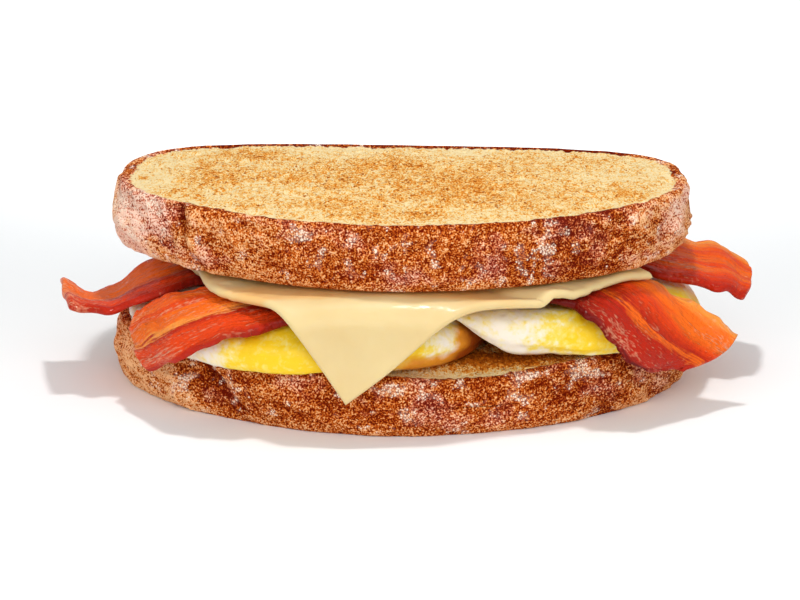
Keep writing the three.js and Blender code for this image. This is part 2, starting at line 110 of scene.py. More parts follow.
TOP_SLICE = dict(
    turn=-4, at=(0.2, 0.3), foot=TOP_SLICE_FOOT, scale=1.0, toasted=0.3, dips=0,
    rosy=(0.5, 0.3), pale=(0.27, 0.35), flanks=(0.06, -0.34),
    browned_and_shaded=[
        (-39, 21, 9, 6, 0.3), (-49, 9, 5, 6, 0.22), (-44, -5, 8, 6, 0.22), (4, -2, 26, 13, 0.26),
        (24, -20, 10, 7, 0.24), (7, -33, 5, 2.5, 0.2), (-20, -24, 9, 5, 0.14), (36, -30, 6, 3, 0.2),
        (56, -12, 4, 4, 0.25), (20, 16, 26, 9, 0.1), (0, -25, 7, 4, -0.14), (-56, 12, 7, 7, -0.2),
        (-62, -6, 9, 11, -0.26), (-30, -12, 6, 4, -0.14), (58, 8, 14, 14, -0.16), (-10, 30, 40, 5, -0.1),
        (-62.9, -4, 1.3, 2, 0.9),
    ],
    floury=[
        (-64, 6, 12, 12, 0.5), (-40, 8, 6, 9, -0.15), (-20, 12.8, 2.5, 1.6, 0.5), (-9.5, 11.2, 3.5, 1.8, 0.5),
        (-17.5, 8.2, 2.5, 1.5, 0.45), (-7.6, 3.8, 2.5, 1.8, 0.45), (26, 10, 2.2, 1.4, 0.28),
        (35.5, 9, 3.4, 1.1, 0.5), (38.5, 12, 3, 1, 0.45), (31, 4.6, 2, 1.2, 0.35), (19, 4, 2, 1.2, 0.3),
        (6, 8, 24, 9, 0.04), (48, 8, 9, 9, -0.12), (66, 9, 8, 9, 0.06),
    ],
    creases=[
        ([(-50.6, 15.5), (-48.5, 9), (-45.2, 0)], 1.6, -1.5),
        ([(-46.3, 14.5), (-44.2, 8), (-41.5, 1)], 2.0, 0.7),
        ([(-38.2, 13.8), (-34, 8.4), (-28.3, 5.5)], 0.7, 0.5), ([(-38, 5), (-32, 5.6), (-25, 2.4)], 0.7, 0.5),
        ([(-31.5, 5.9), (-23, 4), (-15.7, 1.9)], 0.6, -0.6), ([(-34, 13), (-27, 10), (-21, 9.5)], 0.7, 0.35),
    ],
    marks=[
        (-50.5, -28, 6.5, 2.2, 9, -1.9, -0.32), (-46, -32, 6.5, 3.6, 7, 1.4, -0.3),
        (-64, -16, 6, 10, 5.5, 2.2, 0), (64, -16, 7.5, 2.4, 6, -1.5, -0.5), (57, -24, 10, 5, 4, 1.0, -0.4),
        (-8, 36, 8, 30, 5, -0.7, 0),
    ],
)
# The side of a slice from its top edge down: how far in from the outline, and how high.
SLICE_WALL = [(1.9, 15.5), (0.75, 14.8), (0.1, 11.2), (-0.3, 7.6), (0.2, 3.6), (1.3, 0.8), (2.2, 0)]
OUTLINE_ANGLES = np.linspace(0, 2 * np.pi, 20000, endpoint=False)  # dense, then spaced out evenly
SLICE_SECTORS = 800
SOLID_SECTORS = 96  # the solid's own sectors, over two of which the outline's direction is taken
TOP_RINGS, WALL_RINGS, FOOT_RINGS = 56, 36, 12
CRUST_LEAN = math.radians(32)  # how far the crust's wrinkles lean

EDGE_SHARE = 0.978  # the bottom slice's top edge, as a share of its outline
EGG_FOOT = SLICE_THICK + REST_GAP
# `corners` are the outline's powers at its front left, front right, back left and back right. A slope runs
# from an x to another and drops that far.
LEFT_EGG = dict(x=-22, y=-9.2, half_wide=44, half_deep=39.8, corners=(1.7, 3, 2.8, 3.2),
                slopes=[(2, 20, 3), (-48, -66, 3.6)])
RIGHT_EGG = dict(x=37.1, y=-3.9, half_wide=36.9, half_deep=36.2, corners=(4.4, 1.95, 3, 2.6),
                 slopes=[(50, 74, 4.6)])
RIGHT_EGG_EXTRA = 1.2
LAP_THICK, LAP_GAP = 1.6, 1  # the right patty's thin end over the left one
EGG_ROUND = 0.14  # the share of the half width over which a patty's side rounds off
EGG_SAG = dict(most=3.6, within=5.5)
EGG_SECTORS = 560
EGG_RINGS = {"top": 44, "side": 26, "under": 14}

# Half rashers: the near and far edges from the hidden end to the free one, where a height of None lies on
# the egg, and the bands from the near edge, 0, to the far one, 1.
RASHERS = {
    "left_back": dict(
        near=[(-3, -5, None), (-26, -8, None), (-45, -16, None), (-56, -21, 26.9), (-64, -21.5, 23.8),
              (-71.5, -20.5, 21.8), (-79, -19, 22.8)],
        far=[(-3, 20, None), (-26, 18, None), (-45, 12, None), (-60, 6, 27.8), (-69, 5, 22.2),
             (-76.5, 5, 18.4), (-85, 4.5, 22.4)],
        section=[0, 0.5, -0.4, 0.5, 0], tip=0.5, crisp_and_glints=0.22, ripple=0.35, waves=5,
        bands=[(0, "meat"), (0.16, "red_meat"), (0.28, "meat"), (0.4, "fat"), (0.8, "fat"), (1, "red_meat")],
    ),
    "left_front": dict(
        near=[(-3, -35, None), (-16, -40, 28.8), (-28, -46.4, 26.4), (-40, -47.4, 23.7), (-50, -43.5, 18),
              (-58.5, -33.5, 11.2)],
        far=[(-3, -12, None), (-18, -15, None), (-34, -22.5, None), (-47, -26, 29), (-56, -24.2, 26.2),
             (-62.5, -20.5, 21.6)],
        section=[0, 0.9, 0.3, 1, 0], tip=2.5, crisp_and_glints=0.18, ripple=0.3, waves=4,
        bands=[(0, "meat"), (0.1, "red_meat"), (0.28, "red_meat"), (0.37, "meat"), (0.42, "pale_fat"),
               (0.48, "fat"), (0.62, "fat"), (0.72, "red_meat"), (0.82, "fat"), (1, "red_meat")],
    ),
    "right_front": dict(
        near=[(14, -30, None), (26, -34.5, None), (36, -38.6, 30), (42.5, -42, 27.6), (47.5, -43.4, 22.6),
              (52.5, -42.2, 16.6), (58, -37.5, 12.6)],
        far=[(14, 2, None), (30, -3, None), (46, -10, None), (58, -16, 28.2), (65, -20, 25.6),
             (73, -23.4, 22.6), (80, -24.4, 17.6)],
        section=[0, 1.3, -0.4, -1.7, 0.6], tip=4.6, crisp_and_glints=0.04, ripple=0.35, waves=4,
        bands=[(0, "dark_meat_and_shade"), (0.08, "meat"), (0.3, "meat"), (0.37, "fat"), (0.43, "meat"),
               (0.57, "red_meat"), (0.7, "fat"), (0.88, "fat"), (1, "pale_fat")],
    ),
    "right_back": dict(
        near=[(12, 4, None), (28, 2, None), (48, -3, None), (63, -8, 27), (72, -9, 25.2), (79, -8, 23.4),
              (84.5, -6, 20.8)],
        far=[(12, 30, None), (28, 29, None), (48, 26, None), (64, 22.5, 29.2), (75, 20, 27.7),
             (82, 19, 26.6), (88, 17, 22.8)],
        section=[0, 0.9, 0.4, 0.9, 0], tip=1.5, crisp_and_glints=0.26, ripple=0.35, waves=5,
        bands=[(0, "meat"), (0.18, "red_meat"), (0.3, "fat"), (0.38, "red_meat"), (0.54, "fat"),
               (0.66, "red_meat"), (0.76, "fat"), (0.9, "pale_fat"), (1, "fat")],
    ),
}
RASHER_SIZE = (78.0, 26.0)
RASHER_CLEAR = 1.95  # how far a rasher's middle stays off the eggs
RASHER_RAGGED = 0.45
RASHER_GRID = (230, 96)
RELAX_PASSES = 110

# A flow is where melted cheese ran out over an edge: how far out, where along the edge, and how wide.
CHEESE = dict(
    side=84.0, thick=2, tip=(-12.2, -26.3), right=(59.5, 22), left=(-55.5, 40), back=(16, 84.5),
    right_flow=[(-3, 0.36, 0.18), (3.2, 0.7, 0.16)], left_flow=[(6, 0.6, 0.18)],
    fold_y=-44.7, fold_radius=6.3, hang_angle=math.radians(84),
    least=29.3, crown=dict(x=-6, wide=42, rise=3.5),
)
CHEESE_GRID = (170, 170)
RIM_STEPS = 5  # rows in which a sheet's rim rounds off

CAMERA = dict(at=(-2.075, -473.379, 168.0), down=17.3, lens=91.08, sensor=36.0)  # mm, degrees, mm, mm
FLOOR_HALF = 3000

# ---- Small functions ----


def smooth(start, end, t):
    """A smooth step from 0 to 1: s squared times (3 - 2 s), where s is the share of the way."""
    s = np.clip((t - start) / (end - start), 0, 1)
    return s * s * (3 - 2 * s)


def lerp(a, b, t):
    """A straight blend: a plus t times the way to b."""
    return a + (b - a) * t


def bell(t, middle, width):
    """A bell curve: e to the minus square of the distance from the middle over the width."""
    return np.exp(-(((t - middle) / width) ** 2))


def spots(places, x, y):
    """A sum of round spots, each a bell of x times a bell of y times its strength."""
    return sum(more * bell(x, at_x, wide) * bell(y, at_y, deep) for at_x, at_y, wide, deep, more in places)


def soft_max(a, b, soft):
    """The larger of two heights, plus a quarter of `soft` times the squared overlap where they are close."""
    overlap = np.maximum(soft - np.abs(a - b), 0) / soft
    return np.maximum(a, b) + overlap**2 * soft / 4


def unit(v):
    """Vectors divided by their lengths."""
    return v / np.maximum(np.linalg.norm(v, axis=-1, keepdims=True), 1e-9)


def turned(x, y, degrees):
    """A place turned about the middle by an angle's sine and cosine."""
    c, s = math.cos(math.radians(degrees)), math.sin(math.radians(degrees))
    return x * c - y * s, x * s + y * c


def lattice(cell, seed):
    """A random value from 0 to 1 for each whole-number place: its numbers multiplied, mixed and hashed."""
    x, y, z = np.moveaxis(cell.astype(np.uint32), -1, 0)
    h = x * np.uint32(0x9E3779B1) ^ y * np.uint32(0x85EBCA77) ^ z * np.uint32(0xC2B2AE3D)
    h = h ^ np.uint32(seed * 7919 + 1)
    for shift, factor in ((15, 0x2C1B3C6D), (12, 0x297A2D39)):
        h = (h ^ (h >> np.uint32(shift))) * np.uint32(factor)
    return (h ^ (h >> np.uint32(15))) / 2.0**32


def noise(points, size, seed):
    """Smooth random values from -1 to 1: those of the eight corners of each cube, `size` mm wide, blended
    along each axis by a smooth step."""
    cell = np.floor(points / size)
    f = smooth(0, 1, points / size - cell)
    cell = cell.astype(np.int64)
    value = 0
    for corner in itertools.product((0, 1), repeat=3):
        weight = np.prod(np.where(corner, f, 1 - f), axis=-1)
        value = value + weight * lattice(cell + np.array(corner), seed)
    return 2 * value - 1


def fractal(points, size, seed, octaves=3):
    """A sum of noises, each half as wide and half as strong as the one before."""
    return sum(noise(points, size / 2**k, seed + k) / 2**k for k in range(octaves))


def pits(points, size, seed, share):
    """Round hollows of depth 0 to 1: one random centre in each cube `size` mm wide, of which `share` are
    used, and each hollow is a parabola around its centre."""
    cell = np.floor(points / size).astype(np.int64)
    depth = np.zeros(points.shape[:-1])
    for step in itertools.product((-1, 0, 1), repeat=3):
        near = cell + np.array(step)
        centre = (near + np.stack([lattice(near, seed + k) for k in range(3)], axis=-1)) * size
        radius = size * lerp(0.25, 0.62, lattice(near, seed + 3))
        away = np.sum((points - centre) ** 2, axis=-1) / radius**2
        used = lattice(near, seed + 4) < share
        depth = np.maximum(depth, np.where(used, np.clip(1 - away, 0, 1), 0))
    return depth


def evenly(points, count, closed=False):
    """The same line through `count` points an equal length apart: the running length is cut into equal parts
    and each coordinate is read back at them."""
    if closed:
        points = np.vstack([points, points[:1]])
    run = np.concatenate([[0], np.cumsum(np.linalg.norm(np.diff(points, axis=0), axis=1))])
    places = np.linspace(0, run[-1], count + closed)[:count]
    return np.column_stack([np.interp(places, run, p) for p in points.T])


def smooth_line(points, u, power=0.5):
    """A smooth curve through points, read at u from 0 to 1. Each stretch is a cubic with slopes taken from
    the points around it, which the distances between them, to the given power, weigh."""
    points = np.asarray(points, float)
    ends = np.vstack([2 * points[0] - points[1], points, 2 * points[-1] - points[-2]])
    at = np.clip(u, 0, 1) * (len(points) - 1)
    i = np.minimum(at.astype(int), len(points) - 2)
    t = (at - i)[..., None]
    p = [ends[i + k] for k in range(4)]
    d = [np.linalg.norm(p[k + 1] - p[k], axis=-1, keepdims=True) ** power for k in range(3)]
    middle = (p[2] - p[1]) / d[1]
    start = d[1] * ((p[1] - p[0]) / d[0] - (p[2] - p[0]) / (d[0] + d[1]) + middle)
    end = d[1] * (middle - (p[3] - p[1]) / (d[1] + d[2]) + (p[3] - p[2]) / d[2])
    square = 3 * (p[2] - p[1]) - 2 * start - end
    cube = 2 * (p[1] - p[2]) + start + end
    return p[1] + t * (start + t * (square + t * cube))


def superellipse(angle, wide, deep, power):
    """Points of an outline: the cosine and sine, each to the power 2 over `power` with its sign kept, times
    the half width and half depth."""
    c, s = np.cos(angle), np.sin(angle)
    x = wide * np.sign(c) * np.abs(c) ** (2 / power)
    return np.column_stack([x, deep * np.sign(s) * np.abs(s) ** (2 / power)])


def out_share(x, y, wide, deep, power):
    """How far out a place is, 0 at the middle and 1 on a superellipse: the two shares to a power, added, and
    the sum to 1 over that power."""
    return (np.abs(x / wide) ** power + np.abs(y / deep) ** power) ** (1 / power)


def linear(code):
    """A colour written as sRGB hex, as linear red, green and blue."""
    values = [int(code[i : i + 2], 16) / 255 for i in (0, 2, 4)]
    return [v / 12.92 if v <= 0.04045 else ((v + 0.055) / 1.055) ** 2.4 for v in values]


# ---- Meshes ----


def add_object(name, data):
    """A new object in the scene."""
    made = bpy.data.objects.new(name, data)
    bpy.context.scene.collection.objects.link(made)
    return made


def add_piece(name, points, quads, triangles, attributes, material, slot, stands_for):
    """Makes a mesh object from points in mm and faces that point outwards, with a number for each point in
    every attribute, and lets it stand for its solid."""
    mesh = bpy.data.meshes.new(name)
    mesh.vertices.add(len(points))
    mesh.vertices.foreach_set("co", ((points - CENTRE) * MM).astype(np.float32).ravel())
    corners = np.concatenate([quads.ravel(), triangles.ravel()]).astype(np.int32)
    sizes = np.repeat([4, 3], [len(quads), len(triangles)])
    mesh.loops.add(len(corners))
    mesh.loops.foreach_set("vertex_index", corners)
    mesh.polygons.add(len(sizes))
    mesh.polygons.foreach_set("loop_start", (np.cumsum(sizes) - sizes).astype(np.int32))
    mesh.update(calc_edges=True)
    if mesh.validate():
        raise RuntimeError(f"{name} has faces that can't be used")
    mesh.shade_smooth()
    for label, values in attributes.items():
        layer = mesh.attributes.new(label, "FLOAT", "POINT")
        layer.data.foreach_set("value", np.asarray(values, np.float32).ravel())
    mesh.materials.append(material)
    piece = add_object(name, mesh)
    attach(piece, "root")
    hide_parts(stands_for)


def ring_faces(rings, sectors):
    """Faces of a closed body whose first and last points are its poles: quads between rings of `sectors`
    points, and a fan of triangles at each pole."""
    i = np.arange(sectors)
    j = (i + 1) % sectors
    start = 1 + np.arange(rings)[:-1, None] * sectors
    quads = np.stack([start + i, start + sectors + i, start + sectors + j, start + j], axis=-1)
    last = 1 + (rings - 1) * sectors
    first_fan = np.stack([np.zeros_like(i), 1 + i, 1 + j], axis=-1)
    last_fan = np.stack([last + j, last + i, np.full_like(i, last + sectors)], axis=-1)
    return quads.reshape(-1, 4), np.vstack([first_fan, last_fan])


def rounded(distance, reach):
    """The height of a quarter circle, 0 to 1, at a distance in from where it starts."""
    return np.sqrt(1 - (1 - np.clip(distance / reach, 0, 1)) ** 2)


def sheet_places(counts, sizes, half):
    """Places u and v, 0 to 1, over a sheet, close together where its rim rounds off, and its thickness there
    as a share: the product of a quarter circle along u and one along v."""
    places = []
    for count, size in zip(counts, sizes):
        turn = (1 - np.cos(np.linspace(0, np.pi / 2, RIM_STEPS, endpoint=False))) * half / size
        middle = np.linspace(half / size, 1 - half / size, count)
        places.append(np.concatenate([turn, middle, 1 - turn[::-1]]))
    u, v = np.meshgrid(*places, indexing="ij")
    return u, v, math.prod(rounded(np.minimum(t, 1 - t) * size, half) for t, size in zip((u, v), sizes))


def grid_normals(grid):
    """A grid's normals: the cross product of its changes along its rows and along its columns."""
    normal = unit(np.cross(np.gradient(grid, axis=0), np.gradient(grid, axis=1)))
    return normal if normal[..., 2].mean() > 0 else -normal


def relaxed(grid, passes):
    """A grid with its kinks rounded off. In each pass, every place inside the rim moves to the mean of
    itself, counted twice, and its four neighbours."""
    grid = grid.copy()
    low, high = RIM_STEPS, -RIM_STEPS
    for _ in range(passes):
        around = grid[low - 1 : high - 1, low:high] + grid[low + 1 : high + 1, low:high]
        around = around + grid[low:high, low - 1 : high - 1] + grid[low:high, low + 1 : high + 1]
        grid[low:high, low:high] = (2 * grid[low:high, low:high] + around) / 6
    return grid


def sheet_piece(name, node, over, under, attributes, material, slot):
    """A sheet whose two sides are grids that share the points of their rim, made into a piece."""
    rows, columns = over.shape[:2]
    above = np.arange(rows * columns).reshape(rows, columns)
    below = above.copy()
    below[1:-1, 1:-1] = above.size + np.arange(above[1:-1, 1:-1].size).reshape(rows - 2, columns - 2)
    quads = np.concatenate([
        np.stack([g[:-1, :-1], g[:-1, 1:], g[1:, 1:], g[1:, :-1]][::way], axis=-1).reshape(-1, 4)
        for g, way in ((above, 1), (below, -1))
    ])
    facing = np.cross(over[:-1, 1:] - over[:-1, :-1], over[1:, :-1] - over[:-1, :-1])
    if np.sum(facing * (over - under)[:-1, :-1]) < 0:
        quads = quads[:, ::-1]
    inside = (slice(1, -1), slice(1, -1))
    points = np.vstack([over.reshape(-1, 3), under[inside].reshape(-1, 3)])
    both = {label: np.concatenate([v.ravel(), v[inside].ravel()]) for label, v in attributes.items()}
    add_piece(name, points, quads, np.zeros((0, 3), int), both, material, slot, node)


# ---- Materials ----


def new_material(name):
    """An empty material and its function for adding nodes."""
    material = bpy.data.materials.new(name)
    material.use_nodes = True
    material.node_tree.nodes.clear()
    return material, partial(add_node, material.node_tree)


def add_node(tree, kind, inputs=(), out=0, stops=None, **settings):
    """Adds a node and gives its output `out`. `inputs` gives each input its value or the output that feeds
    it, in the node's order or by name or number, and `stops` gives a colour ramp its places and colours."""
    node = tree.nodes.new("ShaderNode" + kind)
    for name, value in settings.items():
        setattr(node, name, value)
    for key, value in inputs.items() if isinstance(inputs, dict) else enumerate(inputs):
        if isinstance(value, bpy.types.NodeSocket):
            tree.links.new(value, node.inputs[key])
        else:
            node.inputs[key].default_value = value
    if stops:
        elements = node.color_ramp.elements
        while len(elements) < len(stops):
            elements.new(0.5)
        for element, (place, colour) in zip(elements, stops):
            element.position = place
            element.color = (*colour, 1)
    return node.outputs[out] if node.outputs else None


def varied(add, start, *terms):
    """A value that noises move up and down: it starts at a number or an output, and adds each noise's
    output less its middle, 0.5, times its weight."""
    total = add("Math", (start, -0.5 * sum(weight for _, weight in terms)), operation="ADD")
    for output, weight in terms:
        total = add("Math", (output, weight, total), operation="MULTIPLY_ADD")
    return total


def per_metre(size_mm):
    """The scale of a noise in Object coordinates, in metres, whose features are about size_mm wide."""
    return 1 / (size_mm * MM)


def bread_material(look):
    """Country bread of wheat: a crust baked orange-brown, rosier in places, with a skin of fine grains and
    wrinkles and flour baked onto it, and cut faces toasted golden with darker specks. All of it is matt."""
    material, add = new_material("baked_wheat_bread")
    place = add("TexCoord", out="Object")
    edge, toasting_and_shade, baking_and_shade, flour, run, wrinkled, rosy = (
        add("Attribute", out="Fac", attribute_name=name)
        for name in ("edge", "toasting_and_shade", "baking_and_shade", "flour", "run", "wrinkled", "rosy")
    )
    # Sizes in mm: patches of browning, clusters of flour, crumb cells, crumb grain, specks of the toast, and
    # grit as fine as shows. All are longer from front to back, as the dough was stretched.
    stretched = add("Mapping", {"Vector": place, "Scale": (1, 0.55, 1)})
    patch, cluster, cell, grain, speck, fine = (
        add("TexNoise", {"Vector": stretched, "Scale": per_metre(size), "Detail": detail})
        for size, detail in ((9, 3), (3.6, 2), (2.4, 2), (0.95, 2), (0.72, 1), (0.4, 1))
    )
    # The crumb's browning, which also holds painted shade at the patties' foot on the bottom slice.
    toasted = varied(add, toasting_and_shade, (patch, 0.6), (cell, 1.1), (grain, 1.3), (fine, 2.2))
    crumb = add("ValToRGB", (toasted,), stops=[
        (0.05, look.crumb), (0.35, look.warm_crumb), (0.65, look.toast), (1.0, look.dark_toast),
    ])
    specks = add("MapRange", (varied(add, toasting_and_shade, (cell, 0.8), (speck, 3.6), (fine, 1.0)), 0.8, 1.36))
    crumb = add("Mix", {0: specks, 6: crumb, 7: (*look.specks, 1)}, 2, data_type="RGBA")

    # Long thin folds of the skin, a crumple of 8 by 1.5 mm that leans over.
    height = add("Math", (add("SeparateXYZ", (place,), "Z"), 1 / MM), operation="MULTIPLY")
    skin = add("CombineXYZ", (run, height))
    skin = add("Mapping", {"Vector": skin, "Rotation": (0, 0, CRUST_LEAN), "Scale": (1 / 8, 1 / 1.5, 1)})
    crumple = add("TexNoise", {"Vector": skin, "Scale": 1.0, "Detail": 3, "Distortion": 0.4})
    fold = add("Math", (varied(add, 0.0, (crumple, 1.0)),), operation="ABSOLUTE")
    fold = add("Math", (add("MapRange", (fold, 0.08, 0.0)), wrinkled), operation="MULTIPLY")

    # The crust's lightness: its attribute already darkens hollows and creases, partly as painted shade, and
    # the folds make it paler along the ridges that the bump raises, partly as painted highlight.
    baked = varied(add, baking_and_shade, (patch, 0.34), (crumple, 0.6), (grain, 1.1), (fine, 3.0))
    baked = add("Math", (fold, 0.34, baked), operation="MULTIPLY_ADD")
    brown = add("ValToRGB", (baked,), stops=[
        (0.0, look.dark_crust), (0.38, look.crust), (0.7, look.golden_crust), (1.0, look.pale_crust),
    ])
    rose = add("ValToRGB", (baked,), stops=[
        (0.0, look.dark_rose), (0.38, look.rose), (0.7, look.light_rose), (1.0, look.pale_rose),
    ])
    rosiness = add("MapRange", (varied(add, rosy, (patch, 2.6), (cell, 0.9)), 0.35, 0.95))
    crust = add("Mix", {0: rosiness, 6: brown, 7: rose}, 2, data_type="RGBA")

    # Flour: loose grains half a mm apart, a random share of them in each place, and a thin film under them.
    grains = add("TexVoronoi", {"Vector": place, "Scale": per_metre(0.5)})
    lot = add("SeparateColor", (grains.node.outputs["Color"],))
    floured = add("MapRange", (varied(add, flour, (cluster, 2.6), (cell, 1.2)), 0.28, 0.66))
    chosen = add("MapRange", (add("Math", (floured, lot), operation="SUBTRACT"), 0.02, 0.15))
    chosen = add("Math", (chosen, add("MapRange", (grains, 0.6, 0.35))), operation="MULTIPLY")
    film = add("Math", (floured, 0.14), operation="MULTIPLY")
    dusted = add("Math", (film, chosen), operation="MAXIMUM")
    crust = add("Mix", {0: dusted, 6: crust, 7: (*look.flour, 1)}, 2, data_type="RGBA")

    inside = add("MapRange", (varied(add, edge, (cell, 2.6), (grain, 2.2)), 0.7, 1.3))
    colour = add("Mix", {0: inside, 6: crust, 7: crumb}, 2, data_type="RGBA")
    bumps = add("Math", (fold, 0.35), operation="MULTIPLY")
    bumps = varied(add, bumps, (cell, 0.9), (grain, 1.3), (fine, 0.8))
    bump = add("Bump", {"Height": bumps, "Strength": 1.0, "Distance": 0.5 * MM})
    shader = add("BsdfPrincipled", {
        "Base Color": colour, "Roughness": 0.8, "IOR": 1.4, "Normal": bump, "Specular IOR Level": 0.05,
    })
    add("OutputMaterial", (shader,))
    return material


def egg_material(look):
    """Cooked egg: set white marbled with broken yolk, smooth, slightly moist and a little translucent, and
    golden and brown in places from the pan, with brown that is partly painted shade where the left patty lies
    under the right one."""
    material, add = new_material("cooked_egg")
    place = add("TexCoord", out="Object")
    yolk, fried_and_shade = (add("Attribute", out="Fac", attribute_name=name) for name in ("yolk", "fried_and_shade"))
    marble, fleck, pores = (
        add("TexNoise", {"Vector": place, "Scale": per_metre(size), "Detail": detail, "Distortion": bent})
        for size, detail, bent in ((7, 4, 0.8), (2.2, 3, 0), (0.9, 2, 0))
    )
    mixed = varied(add, yolk, (marble, 1.0), (fleck, 1.3), (pores, 0.8))
    colour = add("ValToRGB", (mixed,), stops=[
        (0.0, look.white), (0.32, look.cream), (0.55, look.pale_yolk), (0.85, look.yolk),
    ])
    # Golden and brown from the pan, and painted shade on the left patty's end under the right patty.
    browned_and_shaded = varied(add, fried_and_shade, (marble, 0.5), (fleck, 0.3))
    for shade, start, end in ((look.golden, 0.12, 0.5), (look.brown, 0.5, 1.0)):
        share = add("MapRange", (browned_and_shaded, start, end))
        colour = add("Mix", {0: share, 6: colour, 7: (*shade, 1)}, 2, data_type="RGBA")
    bumps = varied(add, 0.0, (marble, 0.8), (fleck, 0.6), (pores, 0.35))
    bump = add("Bump", {"Height": bumps, "Strength": 0.6, "Distance": 0.5 * MM})
    shader = add("BsdfPrincipled", {
        "Base Color": colour, "Roughness": 0.42, "IOR": 1.38, "Normal": bump,
        "Subsurface Weight": 0.25, "Subsurface Radius": (1.0, 0.8, 0.35), "Subsurface Scale": 2 * MM,
        "Specular IOR Level": 0.3, "Coat Weight": 0.15, "Coat Roughness": 0.15,
    })
    add("OutputMaterial", (shader,))
    return material


def bacon_material(look, name, bands):
    """Fried streaky bacon: lean meat dark red, fat rendered to a clear orange, in bands of fibres along the
    rasher, darker towards the end hidden under the top slice as painted shade, with small pale specks of fat
    that also serve as painted highlights along the ridges, all wet with grease, which gives small sharp
    highlights."""
    material, add = new_material("fried_" + name)
    along, across, shade, crisp_and_glints = (
        add("Attribute", out="Fac", attribute_name=label) for label in ("along", "across", "cooked_and_shaded", "crisp_and_glints")
    )
    lengthwise = add("CombineXYZ", (along, across))
    # Sizes in mm along and across the rasher: the bands' wandering, marbling, fibres, blisters and beads.
    wander, marbling, fibre, blister, bead = (
        add("TexNoise", {
            "Vector": add("Mapping", {"Vector": lengthwise, "Scale": (1 / long, 1 / wide, 1)}),
            "Scale": 1.0, "Detail": detail,
        })
        for long, wide, detail in ((22, 11, 2), (16, 2.6, 2), (9, 0.8, 2), (1.2, 1.0, 2), (1.3, 0.45, 1))
    )
    band = add("Math", (across, RASHER_SIZE[1]), operation="DIVIDE")
    band = varied(add, band, (wander, 0.14), (marbling, 0.22), (fibre, 0.2), (blister, 0.06))
    banded = add("ValToRGB", (band,), stops=[(at, getattr(look, kind)) for at, kind in bands])
    # Painted shade, with noise: the meat turns dark towards the rasher's inner end under the top slice and
    # along its edges.
    painted_shade_tone = varied(add, shade, (wander, 0.9), (marbling, 1.1), (fibre, 0.9), (blister, 0.7))
    # Pale specks of fat and painted highlights come in runs along the ridges, thickest towards the ends that
    # the pan crisped hardest.
    beads_and_glints_share = varied(add, crisp_and_glints, (wander, 2.6), (marbling, 1.5), (fibre, 1.6), (blister, 1.0), (bead, 1.6))
    colour = banded
    for value, start, end, most, over in (
        (painted_shade_tone, 0.08, 0.9, 0.92, look.dark_meat_and_shade), (beads_and_glints_share, 0.46, 1.3, 0.7, look.beads_and_glints),
    ):
        share = add("MapRange", (value, start, end, 0.0, most))
        colour = add("Mix", {0: share, 6: colour, 7: (*over, 1)}, 2, data_type="RGBA")
    bumps = varied(add, 0.0, (fibre, 0.9), (blister, 0.9), (bead, 0.5))
    bump = add("Bump", {"Height": bumps, "Strength": 1.0, "Distance": 0.6 * MM})
    shader = add("BsdfPrincipled", {
        "Base Color": colour, "Roughness": 0.5, "IOR": 1.45, "Normal": bump,
        "Specular IOR Level": 0.08, "Coat Weight": 0.16, "Coat Roughness": 0.09, "Coat IOR": 1.47,
    })
    add("OutputMaterial", (shader,))
    return material


def cheese_material(look):
    """Softened white cheese: smooth and fatty, a little translucent, with a soft shine that is wetter in
    patches, and warmer and darker in a band under the top slice's front edge, partly browned by the hot bread
    and partly painted shade with the bread's warm bounce light."""
    material, add = new_material("softened_white_cheese")
    place = add("TexCoord", out="Object")
    heated_and_shaded = add("Attribute", out="Fac", attribute_name="heated_and_shaded")
    cloud, dimple = (
        add("TexNoise", {"Vector": place, "Scale": per_metre(size), "Detail": detail})
        for size, detail in ((16, 3), (3, 2))
    )
    colour = add("ValToRGB", (cloud,), stops=[(0.35, look.cheese), (0.65, look.warm_cheese)])
    heat_and_shade = add("MapRange", (varied(add, heated_and_shaded, (cloud, 0.5), (dimple, 0.2)), 0.25, 1.0, 0.0, 0.55))
    colour = add("Mix", {0: heat_and_shade, 6: colour, 7: (*look.heated_and_shaded_cheese, 1)}, 2, data_type="RGBA")
    bump = add("Bump", {"Height": dimple, "Strength": 0.35, "Distance": 0.3 * MM})
    wet = add("MapRange", (varied(add, cloud, (dimple, 0.6)), 0.42, 0.6, 0.0, 0.25))
    shader = add("BsdfPrincipled", {
        "Base Color": colour, "Roughness": 0.42, "IOR": 1.45, "Normal": bump, "Specular IOR Level": 0.22,
        "Coat Weight": wet, "Coat Roughness": 0.16, "Coat Normal": bump,
        "Subsurface Weight": 0.4, "Subsurface Radius": (1.0, 0.75, 0.4), "Subsurface Scale": 3 * MM,
    })
    add("OutputMaterial", (shader,))
    return material


# ---- Bread ----


def loaf_half(front):
    """The half depth and the power of the slice's outline, in front or behind."""
    return (np.where(front, ahead, behind) for ahead, behind in zip(LOAF["front"], LOAF["back"]))


def crust_marks(marks, x, y, z):
    """How far the crust stands out: two slow waves of sines, and one bell-shaped ridge or hollow for each
    mark, whose distance along the crust leans with the height."""
    out = 0.35 * np.sin(x * 0.21 + z * 0.5) * np.cos(y * 0.17 - z * 0.3)
    out = out + 0.2 * np.sin(x * 0.47 - z * 0.9 + y * 0.3)
    for mx, my, mz, wide, tall, far, lean in marks:
        along = np.hypot(x - mx, y - my) * np.where(x >= mx, 1, -1) + (z - mz) * lean
        out = out + far * bell(along, 0, wide) * bell(z, mz, tall)
    return out


def crust_creases(creases, x, y, z):
    """How far the creases stand out: each a bell of the distance to its line, seen from in front."""
    out = 0
    for points, wide, far in creases:
        line = evenly(smooth_line(points, np.linspace(0, 1, 60)), 24)
        away = np.hypot(x[..., None] - line[:, 0], z[..., None] - line[:, 1]).min(axis=-1)
        out = out + far * bell(away, 0, wide)
    return out * (y < 0)


